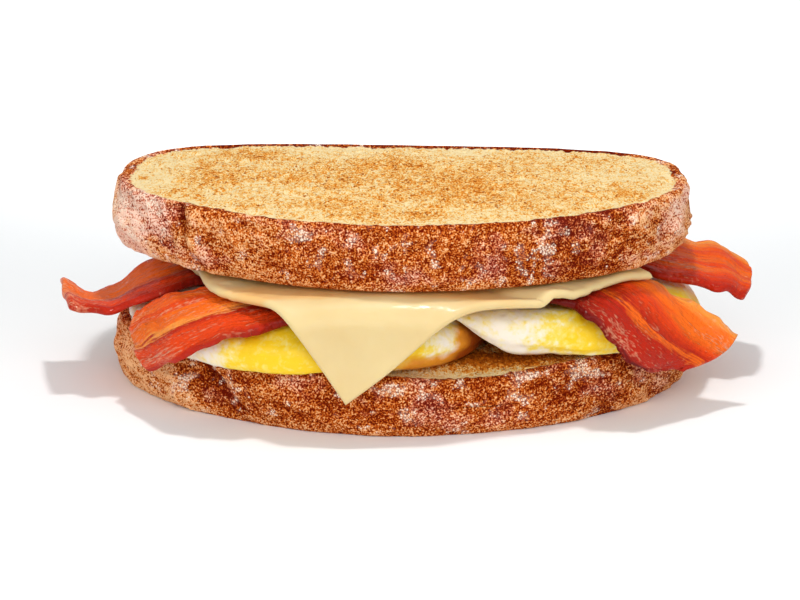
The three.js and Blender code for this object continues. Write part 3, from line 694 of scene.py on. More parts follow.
def crust_wrinkles(run, z, strength, seed):
    """Leaning ridges of the skin: one minus the size of a noise, 2.4 mm wide across the ridges and 9 mm
    along them, squared, so that the ridges are narrow."""
    across = (z * math.cos(CRUST_LEAN) + run * math.sin(CRUST_LEAN)) / 2.4
    along = (run * math.cos(CRUST_LEAN) - z * math.sin(CRUST_LEAN)) / 9
    places = np.stack([across, along, np.zeros_like(across)], axis=-1)
    return strength * ((1 - np.abs(noise(places, 1, seed))) ** 2 - 0.4)


def edge_dip(x, y):
    """How far the bottom slice's front edge dips: a bell along it, in front of the middle only."""
    return EDGE_DIP["depth"] * bell(x, EDGE_DIP["x"], EDGE_DIP["wide"]) * smooth(-20, -36, y)


def slice_piece(name, node, loaf, seed, material, look):
    """One slice: a profile carried around the loaf's outline. The profile runs from the middle of the top
    face out to its edge, down the wall and in to the middle of the foot. The wall moves along the outline's
    normal by its marks, wrinkles and grain, and the top face sinks by its crumb's pits and grain."""
    outline = superellipse(OUTLINE_ANGLES, LOAF["half_width"], *loaf_half(np.sin(OUTLINE_ANGLES) < 0))
    outline = evenly(outline, SLICE_SECTORS, closed=True)
    span = SLICE_SECTORS // SOLID_SECTORS
    tangent = unit(np.roll(outline, -span, axis=0) - np.roll(outline, span, axis=0))
    normal = np.column_stack([tangent[:, 1], -tangent[:, 0]])
    length = np.linalg.norm(outline[1] - outline[0]) * SLICE_SECTORS
    back = np.argmax(outline[:, 1] - 0.01 * np.abs(outline[:, 0]))
    run = (np.arange(SLICE_SECTORS) - back) % SLICE_SECTORS / SLICE_SECTORS * length - length / 2

    wall = evenly(smooth_line(SLICE_WALL, np.linspace(0, 1, 400), 0), WALL_RINGS)
    wall[:, 1] = np.clip(wall[:, 1], 0, SLICE_THICK)
    top = np.linspace(0, 1, TOP_RINGS + 1)[1:-1] ** 0.9
    foot = np.linspace(1, 0, FOOT_RINGS + 1)[1:-1]
    share = np.concatenate([top, np.ones(WALL_RINGS), foot])[:, None]
    inset, z = np.pad(wall, ((len(top), len(foot)), (0, 0)), mode="edge").T[..., None]

    x, y = outline.T
    everywhere = np.broadcast_arrays(x, y, z)
    on_wall = np.stack(everywhere, axis=-1) + 100.0 * seed
    fade = lerp(0.5, 1, smooth(0, 0.7, z) * smooth(SLICE_THICK, SLICE_THICK - 0.7, z))
    marks = crust_marks(loaf["marks"], x, y, z) * fade
    creases = crust_creases(loaf["creases"], *everywhere) * fade
    wrinkle, rough = look.wrinkles / MM, look.grain / MM
    ends = smooth(26, 52, np.abs(x)) * 0.58 + 0.25 + 0.2 * bell(x, -34, 12)
    seam = smooth(length / 2, length / 2 - 12, np.abs(run))
    skin = crust_wrinkles(run, z, ends * seam * wrinkle, seed + 20)
    skin = skin + rough * (1.5 * noise(on_wall, 5.5, seed + 21) + fractal(on_wall, 1.9, seed + 22, 2))
    out = marks + creases + skin * fade - inset
    rim = share[..., None] * (outline + normal * out[..., None])
    edge = (1 - share) * np.linalg.norm(outline, axis=1) - (share == 1) * np.minimum(z, SLICE_THICK - z)

    flat = np.concatenate([rim, np.full((*rim.shape[:2], 1), 50.0 * seed)], axis=-1)
    crumb = 0.16 + 0.3 * smooth(0.9, 3.2, edge) + 0.14 * fractal(flat, 6, seed + 30, 2)
    crumb = crumb + rough * 1.3 * fractal(flat, 1.7, seed + 31, 2)
    crumb = crumb + 0.55 * pits(flat, 3.6, seed + 32, 0.35) + 0.3 * pits(flat, 1.9, seed + 40, 0.4)
    upper = z > SLICE_THICK / 2
    into = np.where(share < 1, smooth(EDGE_DIP["reach"], 0, edge), smooth(3, SLICE_THICK, z))
    height = z - np.where((share < 1) & upper, np.maximum(crumb, 0.02), 0)
    height = height - loaf["dips"] * edge_dip(x, y) * into * upper

    behind = smooth(-0.75, 0.3, normal[:, 1])
    baking_and_shade, rosy = crust_looks(loaf, x, z, marks, creases, skin / (rough + wrinkle), behind)
    looks = {
        "baking_and_shade": baking_and_shade,
        "rosy": rosy,
        # How far inside the crumb, in mm: the crust reaches further in behind and at the left notch.
        "edge": edge - 1.1 * behind - 2 * bell(x, -43, 6) * smooth(0, -20, y),
        "toasting_and_shade": toasted_patches(rim[..., 0], rim[..., 1], edge, loaf, seed + 50),
        "flour": 0.1 * fractal(on_wall, 11, 71, 2) + spots(loaf["floury"], x, z),
        "run": run,
        "wrinkled": np.clip(smooth(24, 40, np.abs(x)) + bell(x, -36, 16), 0, 1) * seam * (share == 1),
    }
    attributes = {
        label: np.pad(np.broadcast_to(values, rim.shape[:2]).ravel(), 1, mode="edge")
        for label, values in looks.items()
    }
    points = np.concatenate([rim, height[..., None]], axis=-1).reshape(-1, 3)
    x, y, z = np.vstack([[0, 0, height[0].mean()], points, [0, 0, 0]]).T
    x, y = turned(x, y, loaf["turn"])
    scale, (at_x, at_y) = loaf["scale"], loaf["at"]
    places = np.column_stack([at_x + scale * x, at_y + scale * y, loaf["foot"] + z])
    add_piece(name, places, *ring_faces(len(share), SLICE_SECTORS), attributes, material, "bread", node)


def crust_looks(loaf, x, z, marks, creases, skin, behind):
    """How light the crust is and how rosy it is, each about 0 to 1: sums of weighted bells and steps.
    Hollows, creases and the skin's wrinkle valleys are darker than ridges, partly from the bake and partly as
    painted shade, and the rim along the cut face behind is darker too."""
    left, right = smooth(-42, -58, x), smooth(50, 65, x)
    top, foot = bell(z, SLICE_THICK, 0.8), bell(z, 0.6, 2)
    baking_and_shade = sum((
        0.34,
        lerp(0.5, 0.62, right) * skin,
        0.14 * np.clip(marks, -2.5, 1.2) + 0.24 * creases,
        loaf["pale"][0] * left + loaf["pale"][1] * right,
        loaf["flanks"][0] * bell(x, -33, 9) + loaf["flanks"][1] * bell(x, 45, 11),
        0.2 * foot + 0.08 * bell(z, SLICE_THICK - 2.5, 1.5) - lerp(0.1, 0.35, behind) * top,
    ))
    rosy = sum((
        0.36 - 0.3 * bell(z, 0.6, 2.2) - 0.15 * bell(x, -33, 10),
        loaf["rosy"][0] * left + loaf["rosy"][1] * right - 0.6 * behind * top,
    ))
    return baking_and_shade, rosy


def toasted_patches(x, y, edge, loaf, seed):
    """How brown a cut face is, about 0 to 1: cloudy noise, a bell for each spot, among them painted shade at
    the patties' foot on the bottom slice, and paler towards the rim as e to the minus distance."""
    flat = np.stack([x, y, np.zeros_like(x)], axis=-1)
    brown = loaf["toasted"] + 0.16 * fractal(flat, 15, seed) + spots(loaf["browned_and_shaded"], x, y)
    return brown - 0.42 * np.exp(-np.maximum(edge - 1, 0) / 3)


# ---- Egg ----


def egg_power(egg, dx, dy):
    """The power of the patty's outline in the corner that a direction points into."""
    return np.asarray(egg["corners"])[np.where(dy > 0, 2, 0) + np.where(dx > 0, 1, 0)]


def egg_share(egg, x, y, grown=0):
    """1 on the patty's outline and 0 at its middle, with the patty made larger all round by `grown` mm."""
    dx, dy = x - egg["x"], y - egg["y"]
    return out_share(dx, dy, egg["half_wide"] + grown, egg["half_deep"] + grown, egg_power(egg, dx, dy))


def egg_sag(x, y):
    """How far a patty sinks past the bottom slice's top edge. The way past it is the distance from the middle
    times the share of it that lies outside, and the sag nears its most as 1 minus e to the minus that way."""
    dx, dy = ((value - at) / BOTTOM_SLICE["scale"] for value, at in zip((x, y), BOTTOM_SLICE["at"]))
    dx, dy = turned(dx, dy, -BOTTOM_SLICE["turn"])
    share = np.maximum(out_share(dx, dy, LOAF["half_width"], *loaf_half(dy < 0)), EDGE_SHARE)
    reach = (1 - EDGE_SHARE / share) * np.hypot(x, y) / EGG_SAG["within"]
    return EGG_SAG["most"] * (1 - np.exp(-(reach**1.3)))


def egg_swell(x, y):
    """A slow swelling of the top: half a millimetre of sine times cosine."""
    return 0.5 * np.sin(x * 0.11 + 0.8) * np.cos(y * 0.13 - 0.4)


def egg_top(egg, x, y, swell):
    """A patty's top where it lies on the bread: its thickness and swelling, less its slopes and its sag."""
    drop = sum(drop * smooth(start, end, x) for start, end, drop in egg["slopes"])
    return EGG_FOOT + EGG_THICK + swell - drop - egg_sag(x, y)


def left_egg_under(x, y):
    """The left patty's foot: on the bread, and sunk past its edge."""
    return EGG_FOOT - egg_sag(x, y)


def left_egg_over(x, y):
    """The left patty's top."""
    return egg_top(LEFT_EGG, x, y, egg_swell(x, y))


def right_egg_under(x, y):
    """The right patty's foot: the higher of the bread and a rounded step over the left patty."""
    step = lerp(EGG_FOOT - 2, left_egg_over(x, y), smooth(1.24, 0.88, egg_share(LEFT_EGG, x, y)))
    return soft_max(EGG_FOOT - egg_sag(x, y), step + LAP_GAP, 1.5)


def right_egg_over(x, y):
    """The right patty's top: flat, or its thin end's thickness over its foot where that is higher."""
    flat = egg_top(RIGHT_EGG, x, y, RIGHT_EGG_EXTRA + 0.6 * egg_swell(x + 30, y))
    return soft_max(flat, right_egg_under(x, y) + LAP_THICK, 1.5)


PATTIES = {
    "egg_left": (LEFT_EGG, left_egg_over, left_egg_under),
    "egg_right": (RIGHT_EGG, right_egg_over, right_egg_under),
}


def egg_layer(x, y):
    """The top of the egg layer: the higher patty, each falling away outside its outline."""
    tops = (over(x, y) * smooth(1.26, 1.02, egg_share(egg, x, y)) for egg, over, _ in PATTIES.values())
    return soft_max(*tops, 2.5)


def keep_off_eggs(p, clear):
    """Moves points nearer than `clear` to a patty: up off its top and its upper round, which falls as a
    quarter ellipse, or outwards from below the middle of its side."""
    p = p.copy()
    for egg, over, under in PATTIES.values():
        x, y, z = p[..., 0], p[..., 1], p[..., 2]
        share = egg_share(egg, x, y, clear)
        middle = (over(x, y) + under(x, y)) / 2
        curve = (EGG_ROUND * egg["half_wide"] + clear) / (egg["half_wide"] + clear)
        into = np.clip((share - 1 + curve) / curve, 0, 1)
        top = middle + (over(x, y) - middle + clear) * np.sqrt(1 - into**2)
        above = (share < 1) & ((z >= middle) | (into == 0))
        grow = np.where((share < 1) & ~above, 1 / np.maximum(share, 1e-6), 1)
        p[..., 0] = egg["x"] + (x - egg["x"]) * grow
        p[..., 1] = egg["y"] + (y - egg["y"]) * grow
        p[..., 2] = np.where(above, np.maximum(z, top), z)
    return p


def yolk_share(node, x, y):
    """How yellow the egg is, about 0 to 1. In front, the left patty turns yellow to the right of its white
    end and pale again at its other end, and the right patty is white at its left. Behind, both are cloudy."""
    flat = np.stack([x, y, np.zeros_like(x)], axis=-1)
    cloudy = 0.45 + 0.45 * fractal(flat, 16, 81)
    if node == "egg_left":
        front = 0.92 * smooth(-45, -34, x) - 0.64 * smooth(0, 11, x)
    else:
        front = 0.02 + 0.74 * smooth(24, 42, x)
    front = lerp(front, 0.8, smooth(56, 64, x))
    return lerp(cloudy, front, smooth(4, -10, y))


def fried_and_shade_share(node, x, y, lift):
    """How brown the egg is, about 0 to 1: in front, the left patty is golden low down and brown all over
    towards its right end, where it lies under the right patty, partly from the pan and partly as painted
    shade. The rest only just caught the pan at its foot."""
    caught = 0.25 * smooth(0.2, 0, lift) * np.ones_like(x)
    if node != "egg_left":
        return caught
    low = smooth(-8, 3, x) * smooth(0.55, 0.2, lift) * 0.6
    return lerp(caught, low + 0.95 * smooth(10.5, 17.5, x), smooth(-20, -32, y))


def egg_piece(name, node, seed, material, look):
    """One patty: rings of its superellipse outline, shrinking to its middle above and below, around a side
    that rounds over as a half ellipse. Points move outwards by lumps and small dimples, and a soft crease
    runs along the side low down, where the patty was folded."""
    egg, over, under = PATTIES[node]
    power = egg_power(egg, np.cos(OUTLINE_ANGLES), np.sin(OUTLINE_ANGLES))
    outline = superellipse(OUTLINE_ANGLES, egg["half_wide"], egg["half_deep"], power)
    outline = evenly(outline, EGG_SECTORS, closed=True)
    side = np.linspace(np.pi / 2, -np.pi / 2, EGG_RINGS["side"])
    share = np.concatenate([
        np.linspace(0, 1 - EGG_ROUND, EGG_RINGS["top"] + 1)[1:-1],
        1 - EGG_ROUND * (1 - np.cos(side)),
        np.linspace(1 - EGG_ROUND, 0, EGG_RINGS["under"] + 1)[1:-1],
    ])[:, None]
    tilt = np.pad(side, (EGG_RINGS["top"] - 1, EGG_RINGS["under"] - 1), mode="edge")[:, None]
    x, y = egg["x"] + share * outline[:, 0], egg["y"] + share * outline[:, 1]
    lift = (1 + np.sin(tilt)) / 2
    z = lerp(under(x, y), over(x, y), lift)
    if node == "egg_left":
        z = z - edge_dip(x + EDGE_DIP["egg_left_by"], y) * smooth(0.8, 0.1, lift)
    flat = np.stack([x, y, z], axis=-1) + 100.0 * seed
    lumps = look.lumps / MM
    bumps = lumps * (fractal(flat, 9, seed, 2) + 0.35 * fractal(flat, 2.6, seed + 5, 2))
    bumps = bumps - 0.3 * pits(flat, 2.8, seed + 9, 0.25)
    crease = bell(lift, 0.3 + 0.1 * noise(flat, 22, seed + 12), 0.07)
    crease = crease * smooth(-0.3, 0.5, noise(flat, 18, seed + 13))
    bumps = bumps - 0.6 * crease * np.cos(tilt)
    # The faces that other pieces lie on only sink.
    bumps = bumps - smooth(0.55, 0.95, np.abs(np.sin(tilt))) * lumps * 1.5
    outwards = unit(outline)
    points = np.stack([
        x + outwards[:, 0] * np.cos(tilt) * bumps,
        y + outwards[:, 1] * np.cos(tilt) * bumps,
        z + np.sin(tilt) * bumps,
    ], axis=-1)
    poles = [[egg["x"], egg["y"], ring[:, 2].mean()] for ring in (points[0], points[-1])]
    yolk = yolk_share(node, x, y) - 0.5 * smooth(0.3, 0.05, lift) * np.cos(tilt)
    attributes = {
        label: np.concatenate([[values[0].mean()], values.ravel(), [values[-1].mean()]])
        for label, values in {"yolk": yolk, "fried_and_shade": fried_and_shade_share(node, x, y, lift)}.items()
    }
    places = np.vstack([poles[:1], points.reshape(-1, 3), poles[1:]])
    add_piece(name, places, *ring_faces(len(share), EGG_SECTORS), attributes, material, "egg", node)


# ---- Bacon ----


def rasher_edge(points):
    """The points of a long edge, with those that have no height laid on the egg layer."""
    places = np.array([[x, y, 0 if z is None else z] for x, y, z in points], float)
    rest = egg_layer(places[:, 0], places[:, 1]) + REST_GAP + RASHER_THICK / 2
    places[:, 2] = [r if z is None else z for r, (_, _, z) in zip(rest, points)]
    return places


def line_direction(points, u):
    """A smooth line's direction, from two places close together."""
    step = 1e-4
    return unit(smooth_line(points, np.minimum(u + step, 1)) - smooth_line(points, np.maximum(u - step, 0)))


def rasher_middle(rasher, u, v):
    """A rasher's middle surface at u, along it, and v, from its near edge to its far one: a straight line
    between the two edges, lifted along its normal by the section's curve and a travelling sine ripple, with
    edges that wander by two sines and a free end that bulges as a parabola."""
    near, far = rasher_edge(rasher["near"]), rasher_edge(rasher["far"])
    lies = min(sum(p[2] is None for p in rasher[edge]) - 1 for edge in ("near", "far")) / (len(near) - 1)
    section = np.column_stack([np.linspace(0, 1, len(rasher["section"])), rasher["section"]])
    a, b = smooth_line(near, u), smooth_line(far, u)
    across = unit(b - a)
    along = unit(lerp(line_direction(near, u), line_direction(far, u), v[..., None]))
    up = unit(np.cross(along, across))
    up = np.where(up[..., 2:] < 0, -up, up)
    free = smooth(lies, lies + 0.5, u)
    ragged = RASHER_RAGGED * (np.sin(41 * u + 9 * v) + np.sin(23 * u + 2))
    wave = rasher["ripple"] * np.sin(2 * np.pi * rasher["waves"] * u + 2.5 * v) * lerp(0.25, 1, free)
    bulge = rasher["tip"] * (1 - (2 * v - 1) ** 2) * smooth(0.6, 1, u)
    lift = wave + smooth_line(section, v, 0)[..., 1] * free
    p = lerp(a, b, v[..., None]) + across * (ragged * (2 * v - 1) ** 3)[..., None]
    return keep_off_eggs(p + along * bulge[..., None] + up * lift[..., None], RASHER_CLEAR)


def rasher_piece(place, rasher, seed, material, look):
    """One rasher: two sides at half its thickness from the middle surface, rounded off at the rim. Fat and
    meat leave low ridges along it, and frying leaves small blisters and a frayed rim."""
    half = RASHER_THICK / 2
    u, v, rim = sheet_places(RASHER_GRID, RASHER_SIZE, half)
    centre = relaxed(rasher_middle(rasher, u, v), RELAX_PASSES)
    normal = grid_normals(centre)
    along = np.cumsum(np.linalg.norm(np.diff(centre, axis=0, prepend=centre[:1]), axis=-1), axis=0)
    at = np.stack([along.mean(axis=1, keepdims=True) + 0 * v, v * RASHER_SIZE[1], np.zeros_like(v)], axis=-1)
    ridges = noise(at * (1 / 16, 1 / 2.6, 1), 1, seed) + 0.5 * noise(at * (1 / 7, 1 / 1.1, 1), 1, seed + 1)
    blisters = noise(at, 2.2, seed + 2) + 0.6 * noise(at, 1.1, seed + 3)
    relief = look.ridges / MM * (ridges + 0.5 * blisters)
    fray = 0.3 * noise(at, 1.8, seed + 4) * np.abs(2 * v - 1) ** 9 + 0.6 * noise(at, 2.6, seed + 5) * u**30
    outwards = unit(np.gradient(centre, axis=1)) * np.sign(v - 0.5)[..., None]
    centre = centre + outwards * fray[..., None]
    thick = (half * 0.86 + np.clip(relief, -0.5, 0.35) * 0.6) * rim
    shift = relief * 0.35 * smooth(0.3, 0.6, u)
    over = centre + normal * (thick + shift)[..., None]
    under = centre + normal * (shift - thick)[..., None]
    # Painted shade towards the inner end hidden under the top slice, plus noise and darker edges.
    cooked_and_shaded = 0.12 * noise(at, 14, seed + 6) + 0.66 * smooth(0.6, 0.34, u) + 0.2 * np.abs(2 * v - 1) ** 12
    # Where pale specks of fat and painted highlights gather: more towards the free end and on the ridges,
    # fewer towards the hidden end.
    crisp_and_glints = rasher["crisp_and_glints"] + 0.3 * smooth(0.72, 1, u) + 0.25 * np.clip(relief, -0.4, 0.4)
    crisp_and_glints = crisp_and_glints - 0.35 * smooth(0.5, 0.3, u)
    attributes = {"along": at[..., 0] + 40 * seed, "across": at[..., 1], "cooked_and_shaded": cooked_and_shaded, "crisp_and_glints": crisp_and_glints}
    sheet_piece("rasher_" + place, "bacon_" + place, over, under, attributes, material, "bacon")


# ---- Cheese ----

FIELD_LOW = np.array([-64.0, -50.0])  # the corner of the grid of heights, at whole mm
FIELD_SIZE = (136, 100)


def filling_field():
    """The height of the fillings on a grid of whole mm: the egg layer, and over it each rasher's nearest
    sample, blended in where the rasher covers the place."""
    x, y = np.meshgrid(*(FIELD_LOW[k] + np.arange(FIELD_SIZE[k]) for k in range(2)), indexing="ij")
    top = egg_layer(x, y) + REST_GAP
    u, v = np.meshgrid(np.linspace(0, 1, 41), np.linspace(0, 1, 9), indexing="ij")
    for rasher in RASHERS.values():
        samples = rasher_middle(rasher, u, v).reshape(-1, 3)
        away = np.hypot(x[..., None] - samples[:, 0], y[..., None] - samples[:, 1])
        covered = smooth(8, 3, away.min(axis=-1))
        laid = samples[away.argmin(axis=-1), 2] + RASHER_THICK / 2 + REST_GAP + 0.2
        top = np.where(covered > 0, soft_max(top, lerp(top, laid, covered), 1.5), top)
    return top


def read_field(field, x, y):
    """A field's value at any place: the 4 by 4 values around it, with cubic B-spline weights."""
    at = np.clip(np.stack([x, y], axis=-1) - FIELD_LOW, 1, np.array(FIELD_SIZE) - 3)
    i = np.floor(at).astype(int)
    t = at - i
    weights = [(1 - t) ** 3, 3 * t**3 - 6 * t**2 + 4, -3 * t**3 + 3 * t**2 + 3 * t + 1, t**3]
    weights = [weight / 6 for weight in weights]
    return sum(
        weights[a][..., 0] * weights[b][..., 1] * field[i[..., 0] + a - 1, i[..., 1] + b - 1]
        for a, b in itertools.product(range(4), repeat=2)
    )


def cheese_least(x, y):
    """The height that the sheet keeps at least: higher in front by a bell times a smooth step, where it
    clings to the bread above, and lower in a straight slope where it reaches past the eggs behind."""
    crown = CHEESE["crown"]
    past = np.minimum(egg_share(LEFT_EGG, x, y), egg_share(RIGHT_EGG, x, y)) - 0.95
    sag = np.where(y < 0, 0, np.clip(18 * past, 0, 5))
    return CHEESE["least"] - sag + crown["rise"] * bell(x, crown["x"], crown["wide"]) * smooth(-5, -38, y)


def cheese_middle(a, b):
    """The cheese's middle surface at its corner coordinates a and b. A blend of its four corners, pushed out
    by the melted edges' bells, gives the flat place p, q. Behind the fold, the sheet lies on the fillings; in
    front of it, it bends down around a circle and then hangs straight."""
    radius, turn = CHEESE["fold_radius"], CHEESE["hang_angle"]
    tip, right, left, back = (np.array(CHEESE[key], float) for key in ("tip", "right", "left", "back"))
    place = lerp(lerp(tip, right, a[..., None]), lerp(left, back, a[..., None]), b[..., None])
    right = sum(out * bell(a, at, wide) for out, at, wide in CHEESE["right_flow"]) * (1 - b) ** 2
    left = sum(out * bell(b, at, wide) for out, at, wide in CHEESE["left_flow"]) * (1 - a) ** 2
    p = place[..., 0] + right * 0.53 - left * 0.82
    q = place[..., 1] - right * 0.85 - left * 0.57
    arc = np.clip(-q / radius, 0, turn)
    rest = np.maximum(0, -q - radius * turn)
    y = CHEESE["fold_y"] + np.maximum(q, 0)
    drop = radius * (1 - np.cos(arc)) + rest * math.sin(turn)
    forward = radius * np.sin(arc) + rest * math.cos(turn)
    height = soft_max(read_field(filling_field(), p, y) + CHEESE["thick"] / 2, cheese_least(p, y), 1.5)
    return np.stack([p, y - forward, height - drop], axis=-1)


def cheese_piece(material, look):
    """The slice of cheese: two sides at half its thickness from the middle surface, which stand a little
    further apart in a bead along the melted rim and round off there."""
    half, side = CHEESE["thick"] / 2, CHEESE["side"]
    a, b, rim = sheet_places(CHEESE_GRID, (side, side), half)
    centre = cheese_middle(a, b)
    normal = grid_normals(centre)
    flat = np.stack([a * side, b * side, np.zeros_like(a)], axis=-1)
    from_rim = np.minimum(np.minimum(a, 1 - a), np.minimum(b, 1 - b)) * side
    soft = 0.1 * noise(flat, 11, 5) + 0.04 * noise(flat, 4, 6)
    thick = (half - 0.12 + look.bead / MM * bell(from_rim, 1.3, 1.1)) * rim
    over = centre + normal * (thick + soft * rim)[..., None]
    under = centre - normal * (thick - soft * rim)[..., None]
    x, y = centre[..., 0], centre[..., 1]
    # A band under the top slice's front edge: partly browning from the hot bread, partly painted warm shade.
    heated_and_shaded = smooth(-47.5, -44.5, y) * smooth(-30, -38, y) * smooth(-56, -30, x) * smooth(34, 14, x)
    sheet_piece("melted_cheese", "cheese_slice", over, under, {"heated_and_shaded": heated_and_shaded}, material, "cheese")


# ---- The stage ----


def add_floor(look):
    """A plain square floor under the sandwich, at the height of its foot."""
    half = FLOOR_HALF * MM
    mesh = bpy.data.meshes.new("floor")
    corners = [(x * half, y * half, 0) for x, y in ((-1, -1), (1, -1), (1, 1), (-1, 1))]
    mesh.from_pydata(corners, [], [(0, 1, 2, 3)])
    material, add = new_material("matt_white_floor")
    tooth = add("TexNoise", {"Vector": add("TexCoord", out="Object"), "Scale": per_metre(0.8)})
    bump = add("Bump", {"Height": tooth, "Strength": 0.1, "Distance": 0.02 * MM})
    shader = add("BsdfPrincipled", {
        "Base Color": (*look.floor, 1), "Roughness": 0.9, "Specular IOR Level": 0.1, "Normal": bump,
    })
    add("OutputMaterial", (shader,))
    mesh.materials.append(material)
    add_object("floor", mesh)


def add_light(kind, name, at, towards, power, **shape):
    """A light at a place in mm, turned towards another."""
    data = bpy.data.lights.new(name, kind)
    data.energy = power
    for key, value in shape.items():
        setattr(data, key, value)
    light = add_object(name, data)
    light.location = [value * MM for value in at]
    light.rotation_euler = Vector([b - a for a, b in zip(at, towards)]).to_track_quat("-Z", "Y").to_euler()


# ---- Settings ----


def setting(name, description, value, unit="LENGTH"):
    """A setting that a user may change: a colour given as sRGB hex, a length in mm, or another number."""
    words = dict(name=name, description=description, min=0)
    if isinstance(value, str):
        return FloatVectorProperty(**words, subtype="COLOR", size=3, max=1, default=linear(value))
    if unit == "LENGTH":
        return FloatProperty(**words, subtype="DISTANCE", unit=unit, precision=5, default=value * MM)
    return FloatProperty(**words, unit=unit, default=value)


class BreadSettings(bpy.types.PropertyGroup):
    """Sizes and colours of the two slices."""

    wrinkles: setting("Wrinkles", "How high the wrinkles at the crust's ends stand", 0.85)
    grain: setting("Grain", "How rough the crust and the crumb are", 0.13)
    crumb: setting("Crumb", "Pale crumb that wasn't toasted", "edd4a0")
    warm_crumb: setting("Warm crumb", "Crumb that is just turning golden", "e9ba6a")
    toast: setting("Toast", "Golden toasted crumb", "de9036")
    dark_toast: setting("Dark toast", "Well toasted crumb", "c66a14")
    specks: setting("Specks", "The darkest specks of the toast", "9c4c0c")
    crust: setting("Crust", "Baked crust", "b24a10")
    dark_crust: setting("Dark crust", "Crust in hollows, where it is darkest", "6a1400")
    golden_crust: setting("Golden crust", "Crust on ridges", "da7c30")
    pale_crust: setting("Pale crust", "The lightest grains of the crust", "f8bc86")
    rose: setting("Rosy crust", "Crust where flour and steam left it rosy", "b05038")
    dark_rose: setting("Dark rosy crust", "Hollows of the rosy crust", "6c1a10")
    light_rose: setting("Light rosy crust", "Ridges of the rosy crust", "e39474")
    pale_rose: setting("Pale rosy crust", "The lightest grains of the rosy crust", "ffd2ba")
    flour: setting("Flour", "Flour baked onto the crust", "ffe4cc")


class EggSettings(bpy.types.PropertyGroup):
    """Sizes and colours of the two patties."""

    lumps: setting("Lumps", "How uneven the cooked egg is", 0.28)
    white: setting("White", "Set egg white", "f2e8d6")
    cream: setting("Cream", "White with a little yolk", "f2e2aa")
    pale_yolk: setting("Pale yolk", "Yolk mixed with white", "f2d862")
    yolk: setting("Yolk", "Clear yolk", "f4cc1c")
    # Golden and brown egg also paint the shade on the left patty's end under the right patty.
    golden: setting("Golden egg", "Egg where the pan turned it golden", "d98a20")
    brown: setting("Brown egg", "Egg where the pan browned it", "8f3f0c")


class BaconSettings(bpy.types.PropertyGroup):
    """Sizes and colours of the four half rashers."""

    ridges: setting("Ridges", "How high the ridges along a rasher stand", 0.3)
    meat: setting("Meat", "Fried lean meat", "b4240e")
    red_meat: setting("Red meat", "Lean meat where it is brightest", "e04210")
    # Also the painted shade towards each rasher's inner end under the top slice.
    dark_meat_and_shade: setting("Dark meat", "The darkest meat", "640602")
    fat: setting("Fat", "Rendered fat", "ee6818")
    pale_fat: setting("Pale fat", "The lightest fat", "f89a40")
    # Pale specks of fat, which also serve as painted highlights.
    beads_and_glints: setting("Beads", "Small beads of fat and salt on the surface", "f8b48c")


class CheeseSettings(bpy.types.PropertyGroup):
    """Sizes and colours of the cheese."""

    bead: setting("Bead", "How far the melted rim stands out", 0.18)
    cheese: setting("Cheese", "White cheese", "dfc893")
    warm_cheese: setting("Warm cheese", "Cheese where it has softened most", "dbc088")
    # The band under the top slice: partly browned cheese, partly painted warm shade.
    heated_and_shaded_cheese: setting("Heated cheese", "Cheese that the hot bread browned", "ecae5c")


class StageSettings(bpy.types.PropertyGroup):
    """The studio's lights and floor."""

    floor: setting("Floor", "The plain floor", "fafafa")
    key_light: setting("Key light", "Power of the light overhead", 0.68, "POWER")
    fill_light: setting("Fill light", "Power of the light in front", 2.9, "POWER")
    background_light: setting("Background light", "Power of the light on the floor behind", 28, "POWER")
    surroundings: setting("Surroundings", "Brightness of the white surroundings", 0.5, "NONE")


# ---- Operators, one for each group of like pieces, and the panel ----


class SANDWICH_OT_bread(bpy.types.Operator):
    """Bake and toast the two slices of bread"""

    bl_idname = "sandwich.bread"
    bl_label = "Bread"

    def execute(self, context):
        look = context.scene.sandwich_bread
        material = bread_material(look)
        slice_piece("toast_bottom", "bread_bottom", BOTTOM_SLICE, 3, material, look)
        slice_piece("toast_top", "bread_top", TOP_SLICE, 4, material, look)
        return {"FINISHED"}


class SANDWICH_OT_egg(bpy.types.Operator):
    """Cook the two folded egg patties"""

    bl_idname = "sandwich.egg"
    bl_label = "Egg"

    def execute(self, context):
        look = context.scene.sandwich_egg
        material = egg_material(look)
        egg_piece("patty_left", "egg_left", 5, material, look)
        egg_piece("patty_right", "egg_right", 6, material, look)
        return {"FINISHED"}


class SANDWICH_OT_bacon(bpy.types.Operator):
    """Fry the four half rashers of bacon"""

    bl_idname = "sandwich.bacon"
    bl_label = "Bacon"

    def execute(self, context):
        look = context.scene.sandwich_bacon
        for seed, (place, rasher) in enumerate(RASHERS.items(), start=7):
            rasher_piece(place, rasher, seed, bacon_material(look, "bacon_" + place, rasher["bands"]), look)
        return {"FINISHED"}


class SANDWICH_OT_cheese(bpy.types.Operator):
    """Melt the slice of cheese over the fillings"""

    bl_idname = "sandwich.cheese"
    bl_label = "Cheese"

    def execute(self, context):
        look = context.scene.sandwich_cheese
        cheese_piece(cheese_material(look), look)
        return {"FINISHED"}


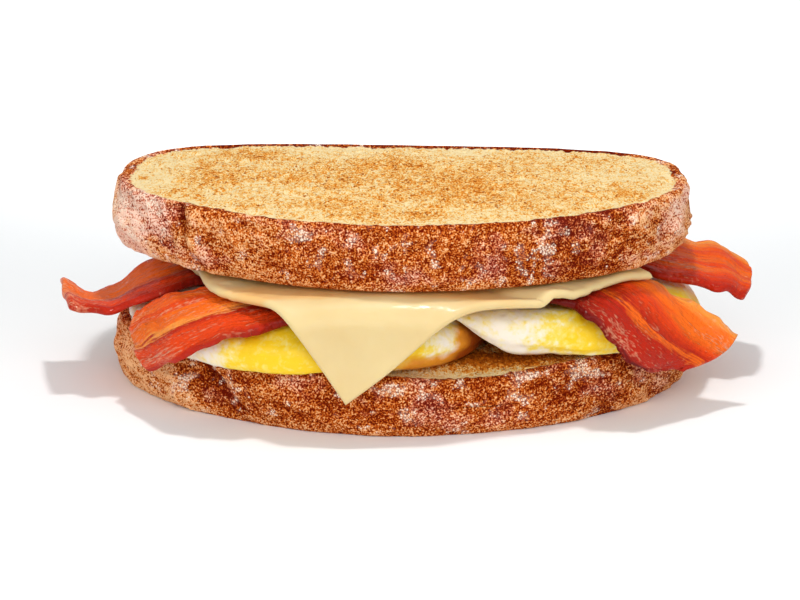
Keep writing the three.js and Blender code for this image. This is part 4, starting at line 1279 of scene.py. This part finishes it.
class SANDWICH_OT_stage(bpy.types.Operator):
    """Set up the plain floor, the soft studio lights and the camera"""

    bl_idname = "sandwich.stage"
    bl_label = "Stage"

    def execute(self, context):
        look = context.scene.sandwich_stage
        add_floor(look)
        add_light("AREA", "key_light", (14, -40, 400), (0, 0, 0), look.key_light,
                  shape="RECTANGLE", size=34 * MM, size_y=34 * MM)
        add_light("AREA", "fill_light", (0, -560, 350), (0, 0, 25), look.fill_light,
                  shape="RECTANGLE", size=1100 * MM, size_y=360 * MM)
        # The background light's cone doesn't reach the sandwich.
        add_light("SPOT", "background_light", (0, 300, 750), (0, 550, 0), look.background_light,
                  spot_size=math.radians(70), spot_blend=1, shadow_soft_size=100 * MM)
        world = bpy.data.worlds.new("white_surroundings")
        world.use_nodes = True
        background = world.node_tree.nodes["Background"]
        background.inputs["Color"].default_value = (0.94, 0.98, 1, 1)
        background.inputs["Strength"].default_value = look.surroundings
        context.scene.world = world
        context.scene.view_settings.view_transform = "Standard"
        data = bpy.data.cameras.new("camera")
        data.lens, data.sensor_width = CAMERA["lens"], CAMERA["sensor"]
        camera = add_object("camera", data)
        camera.location = [value * MM for value in CAMERA["at"]]
        camera.rotation_euler = (math.radians(90 - CAMERA["down"]), 0, 0)
        context.scene.camera = camera
        return {"FINISHED"}


class SANDWICH_PT_panel(bpy.types.Panel):
    """The sandwich's pieces and settings, in the 3D view's sidebar"""

    bl_idname = "SANDWICH_PT_panel"
    bl_label = "Breakfast Sandwich"
    bl_space_type = "VIEW_3D"
    bl_region_type = "UI"
    bl_category = "Sandwich"

    def draw(self, context):
        for label, group in SETTINGS.items():
            box = self.layout.box()
            box.operator("sandwich." + label)
            for name in group.__annotations__:
                box.prop(getattr(context.scene, "sandwich_" + label), name)


SETTINGS = {
    "bread": BreadSettings,
    "egg": EggSettings,
    "bacon": BaconSettings,
    "cheese": CheeseSettings,
    "stage": StageSettings,
}
OPERATORS = (SANDWICH_OT_bread, SANDWICH_OT_egg, SANDWICH_OT_bacon, SANDWICH_OT_cheese, SANDWICH_OT_stage)
CLASSES = (*SETTINGS.values(), *OPERATORS, SANDWICH_PT_panel)


def register():
    for made in CLASSES:
        bpy.utils.register_class(made)
    for label, group in SETTINGS.items():
        setattr(bpy.types.Scene, "sandwich_" + label, PointerProperty(type=group))


def unregister():
    for label in SETTINGS:
        delattr(bpy.types.Scene, "sandwich_" + label)
    for made in reversed(CLASSES):
        bpy.utils.unregister_class(made)


def main():
    """Builds every piece and the stage."""
    register()
    for label in SETTINGS:
        getattr(bpy.ops.sandwich, label)()


if __name__ == "__main__":
    main()
